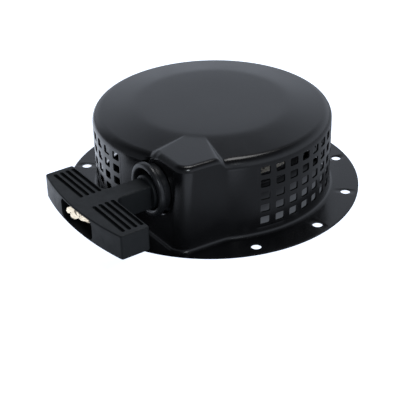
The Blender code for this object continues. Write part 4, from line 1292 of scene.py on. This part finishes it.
def finish_cad_node(node, finish, edge, sharp_degrees=38.0):
    """Gives a CAD node its material and rounds its edges a little."""
    obj = bpy.data.objects[node]
    for socket in obj.material_slots:
        socket.material = finish
    weld = obj.modifiers.new("Weld", "WELD")
    weld.merge_threshold = 1e-6
    bevel = obj.modifiers.new("Edges", "BEVEL")
    bevel.width = edge
    bevel.segments = 2
    bevel.limit_method = "ANGLE"
    bevel.angle_limit = math.radians(sharp_degrees)
    bevel.harden_normals = False


# ---------------------------------------------------------------- stage
CAMERA_PLACE = (0.669, -0.465, 0.460)
CAMERA_AZIMUTH = math.radians(56.0)
CAMERA_DOWN = math.radians(30.51)
CAMERA_ROLL = math.radians(-1.3)
LENS = 99.0


def make_camera():
    data = bpy.data.cameras.new("camera")
    data.lens = LENS
    data.sensor_width = 36.0
    data.clip_start = 0.01
    camera = bpy.data.objects.new("camera", data)
    bpy.context.scene.collection.objects.link(camera)
    level = math.cos(CAMERA_DOWN)
    look = Vector((-math.sin(CAMERA_AZIMUTH) * level, math.cos(CAMERA_AZIMUTH) * level, -math.sin(CAMERA_DOWN)))
    turn = look.to_track_quat("-Z", "Y").to_matrix().to_4x4() @ Matrix.Rotation(CAMERA_ROLL, 4, "Z")
    camera.matrix_world = TO_ROW_FRAME @ Matrix.Translation(CAMERA_PLACE) @ turn
    bpy.context.scene.camera = camera


def area_light(name, place, target, size, power, colour=(1.0, 1.0, 1.0)):
    data = bpy.data.lights.new(name, "AREA")
    data.shape = "RECTANGLE"
    data.size, data.size_y = size
    data.energy = power
    data.color = colour
    light = bpy.data.objects.new(name, data)
    bpy.context.scene.collection.objects.link(light)
    light.location = place
    light.rotation_euler = (Vector(target) - Vector(place)).to_track_quat("-Z", "Y").to_euler()
    return light


def make_world():
    """White to the camera; to everything else a studio that brightens towards the horizon."""
    world = bpy.data.worlds.new("studio")
    bpy.context.scene.world = world
    world.use_nodes = True
    nodes = world.node_tree.nodes
    links = world.node_tree.links
    background = nodes["Background"]
    direction = nodes.new("ShaderNodeTexCoord").outputs["Generated"]
    split = nodes.new("ShaderNodeSeparateXYZ")
    links.new(direction, split.inputs[0])
    ramp = nodes.new("ShaderNodeValToRGB")
    links.new(split.outputs["Z"], ramp.inputs[0])
    stops = ramp.color_ramp.elements
    stops[0].position = 0.0
    stops[0].color = (0.20, 0.20, 0.21, 1.0)
    stops[1].position = 1.0
    stops[1].color = (0.04, 0.04, 0.045, 1.0)
    for position, level in WORLD_LEVELS:
        stop = stops.new(position)
        stop.color = (*(level * tint for tint in WORLD_TINT), 1.0)
    # The side in front of the handle stays dark.
    facing = nodes.new("ShaderNodeVectorMath")
    facing.operation = "DOT_PRODUCT"
    links.new(direction, facing.inputs[0])
    facing.inputs[1].default_value = (0.0, 1.0, 0.0)
    share = nodes.new("ShaderNodeMapRange")
    for name, number in (("From Min", -0.5), ("From Max", 0.0), ("To Min", WORLD_DARK_SIDE), ("To Max", 1.0)):
        share.inputs[name].default_value = number
    links.new(facing.outputs["Value"], share.inputs["Value"])
    dimmed = nodes.new("ShaderNodeVectorMath")
    dimmed.operation = "SCALE"
    links.new(ramp.outputs["Color"], dimmed.inputs[0])
    links.new(share.outputs["Result"], dimmed.inputs["Scale"])
    path = nodes.new("ShaderNodeLightPath")
    seen = nodes.new("ShaderNodeMix")
    seen.data_type = "RGBA"
    links.new(dimmed.outputs["Vector"], seen.inputs["A"])
    seen.inputs["B"].default_value = (1.0, 1.0, 1.0, 1.0)
    links.new(path.outputs["Is Camera Ray"], seen.inputs["Factor"])
    links.new(seen.outputs["Result"], background.inputs["Color"])


def distance_ramp(nodes, links, centre, full, levels):
    """A brightness that goes by the distance from a place, through (distance / full, level) pairs."""
    place = nodes.new("ShaderNodeTexCoord").outputs["Object"]
    away = nodes.new("ShaderNodeVectorMath")
    away.operation = "DISTANCE"
    away.inputs[1].default_value = centre
    links.new(place, away.inputs[0])
    share = nodes.new("ShaderNodeMath")
    share.operation = "DIVIDE"
    links.new(away.outputs["Value"], share.inputs[0])
    share.inputs[1].default_value = full
    ramp = nodes.new("ShaderNodeValToRGB")
    links.new(share.outputs[0], ramp.inputs[0])
    stops = ramp.color_ramp.elements
    for index, (distance, level) in enumerate(levels):
        stop = stops[index] if index < 2 else stops.new(distance / full)
        stop.position = distance / full
        stop.color = (*(level * tint for tint in WORLD_TINT), 1.0)
    return ramp.outputs["Color"]


def floor_shade(nodes, links):
    """The floor's brightness to the camera, with the housing's shadow painted in: inside the drum it is dark, and
    darkest on the left.
    """
    levels = [(radii * DRUM_RADIUS, level) for radii, level in FLOOR_LIGHT]
    shade = distance_ramp(nodes, links, (0.0, AXIS_Y, 0.0), 2 * DRUM_RADIUS, levels)
    split = nodes.new("ShaderNodeSeparateXYZ")
    links.new(nodes.new("ShaderNodeTexCoord").outputs["Object"], split.inputs[0])
    lit = nodes.new("ShaderNodeMapRange")
    lit.inputs["From Min"].default_value, lit.inputs["From Max"].default_value = FLOOR_LIT_FROM_X
    links.new(split.outputs["X"], lit.inputs["Value"])
    outside = nodes.new("ShaderNodeMath")
    outside.operation = "GREATER_THAN"
    links.new(shade, outside.inputs[0])
    outside.inputs[1].default_value = 2 * FLOOR_LIGHT[-2][1]
    share = nodes.new("ShaderNodeMath")
    share.operation = "MAXIMUM"
    links.new(lit.outputs["Result"], share.inputs[0])
    links.new(outside.outputs[0], share.inputs[1])
    scaled = nodes.new("ShaderNodeVectorMath")
    scaled.operation = "SCALE"
    links.new(shade, scaled.inputs[0])
    links.new(share.outputs[0], scaled.inputs["Scale"])
    return scaled.outputs["Vector"]


def make_floor():
    """A pale floor: nearly white to the camera, with a soft shadow from the lamps and a painted shadow inside the
    drum, and dimmer to what the object mirrors.
    """
    mesh = bpy.data.meshes.new("floor")
    side = 6.0
    corners = [(-side, -side, 0), (side, -side, 0), (side, side, 0), (-side, side, 0)]
    mesh.from_pydata(corners, [], [(0, 1, 2, 3)])
    floor = link("floor", mesh)
    floor.location.z = -0.0004
    made = bpy.data.materials.new("floor_white")
    made.use_nodes = True
    nodes = made.node_tree.nodes
    links = made.node_tree.links
    nodes.remove(nodes["Principled BSDF"])
    shade = floor_shade(nodes, links)
    lit = nodes.new("ShaderNodeBsdfDiffuse")
    links.new(shade, lit.inputs["Color"])
    glow = nodes.new("ShaderNodeEmission")
    links.new(shade, glow.inputs["Color"])
    bright = nodes.new("ShaderNodeAddShader")
    links.new(lit.outputs[0], bright.inputs[0])
    links.new(glow.outputs[0], bright.inputs[1])
    total = distance_ramp(nodes, links, FLOOR_DARK_PLACE, FLOOR_REACH, FLOOR_MIRRORED)
    for centre, levels in FLOOR_BRIGHT_PLACES:
        mirrored = nodes.new("ShaderNodeVectorMath")
        mirrored.operation = "ADD"
        links.new(total, mirrored.inputs[0])
        links.new(distance_ramp(nodes, links, centre, FLOOR_REACH, levels), mirrored.inputs[1])
        total = mirrored.outputs["Vector"]
    dim = nodes.new("ShaderNodeEmission")
    links.new(total, dim.inputs["Color"])
    path = nodes.new("ShaderNodeLightPath")
    pick = nodes.new("ShaderNodeMixShader")
    links.new(path.outputs["Is Camera Ray"], pick.inputs[0])
    links.new(dim.outputs[0], pick.inputs[1])
    links.new(bright.outputs[0], pick.inputs[2])
    # From below the floor is clear.
    from_below = nodes.new("ShaderNodeMixShader")
    links.new(nodes.new("ShaderNodeNewGeometry").outputs["Backfacing"], from_below.inputs[0])
    links.new(pick.outputs[0], from_below.inputs[1])
    links.new(nodes.new("ShaderNodeBsdfTransparent").outputs[0], from_below.inputs[2])
    links.new(from_below.outputs[0], nodes["Material Output"].inputs["Surface"])
    mesh.materials.append(made)


def make_stage():
    bpy.context.scene.view_settings.view_transform = "Standard"
    make_world()
    make_floor()
    area_light("overhead", (-0.15, 0.25, 1.1), (0.0, 0.0, 0.0), (0.42, 0.42), 2.4)
    area_light("key", (0.70, -0.28, 0.66), (0.03, -0.02, 0.03), (0.20, 0.20), 1.6, (0.90, 0.96, 1.0))


# ---------------------------------------------------------------- assembly
def main():
    paint = black_paint()
    plastic = black_plastic("black_plastic", (0.011, 0.012, 0.013), (0.019, 0.020, 0.022), 0.30, 0.50)
    grip_plastic = black_plastic("grip_plastic", (0.0085, 0.0100, 0.0110), (0.013, 0.015, 0.016), 0.42, 0.24)
    nylon = black_plastic("black_nylon", (0.028, 0.028, 0.030), (0.045, 0.045, 0.047), 0.50, 0.40)
    zinc = plain_metal("zinc_steel", (0.58, 0.59, 0.60), (0.44, 0.45, 0.48), 0.32)
    spring = plain_metal("spring_steel", (0.32, 0.34, 0.38), (0.22, 0.23, 0.26), 0.30, (1.0, 1.0, 12.0))
    hard = plain_metal("hardened_steel", (0.26, 0.25, 0.24), (0.15, 0.14, 0.14), 0.40, (6.0, 1.0, 1.0))
    rope = braided_rope("braided_rope", False)
    straight_rope = braided_rope("braided_rope_straight", True)
    # The same rope with a painted glow, for the knot in the handle.
    glowing_rope = braided_rope("braided_rope_painted_glow", False, KNOT_GLOW)

    make_housing(paint)
    make_guide_seat(paint)
    make_rope_guide(plastic)
    make_handle(grip_plastic)
    make_ropes(rope, straight_rope, glowing_rope)
    make_reel(nylon)
    make_turned_parts(zinc, spring, sintered_bronze())
    finish_cad_node("center_post", zinc, 0.0003)
    finish_cad_node("center_screw", zinc, 0.0003)
    finish_cad_node("rewind_spring", spring, 0.0001)
    finish_cad_node("friction_plate", zinc, 0.0003)
    finish_cad_node("friction_spring", spring, 0.0001, 80.0)
    for index in (1, 2):
        finish_cad_node(f"pawl_{index}", hard, 0.0004)
        finish_cad_node(f"pawl_pin_{index}", zinc, 0.0002)
        finish_cad_node(f"pawl_clip_{index}", spring, 0.0001)
        finish_cad_node(f"pawl_spring_{index}", spring, 0.0001, 80.0)
    make_camera()
    make_stage()


main()
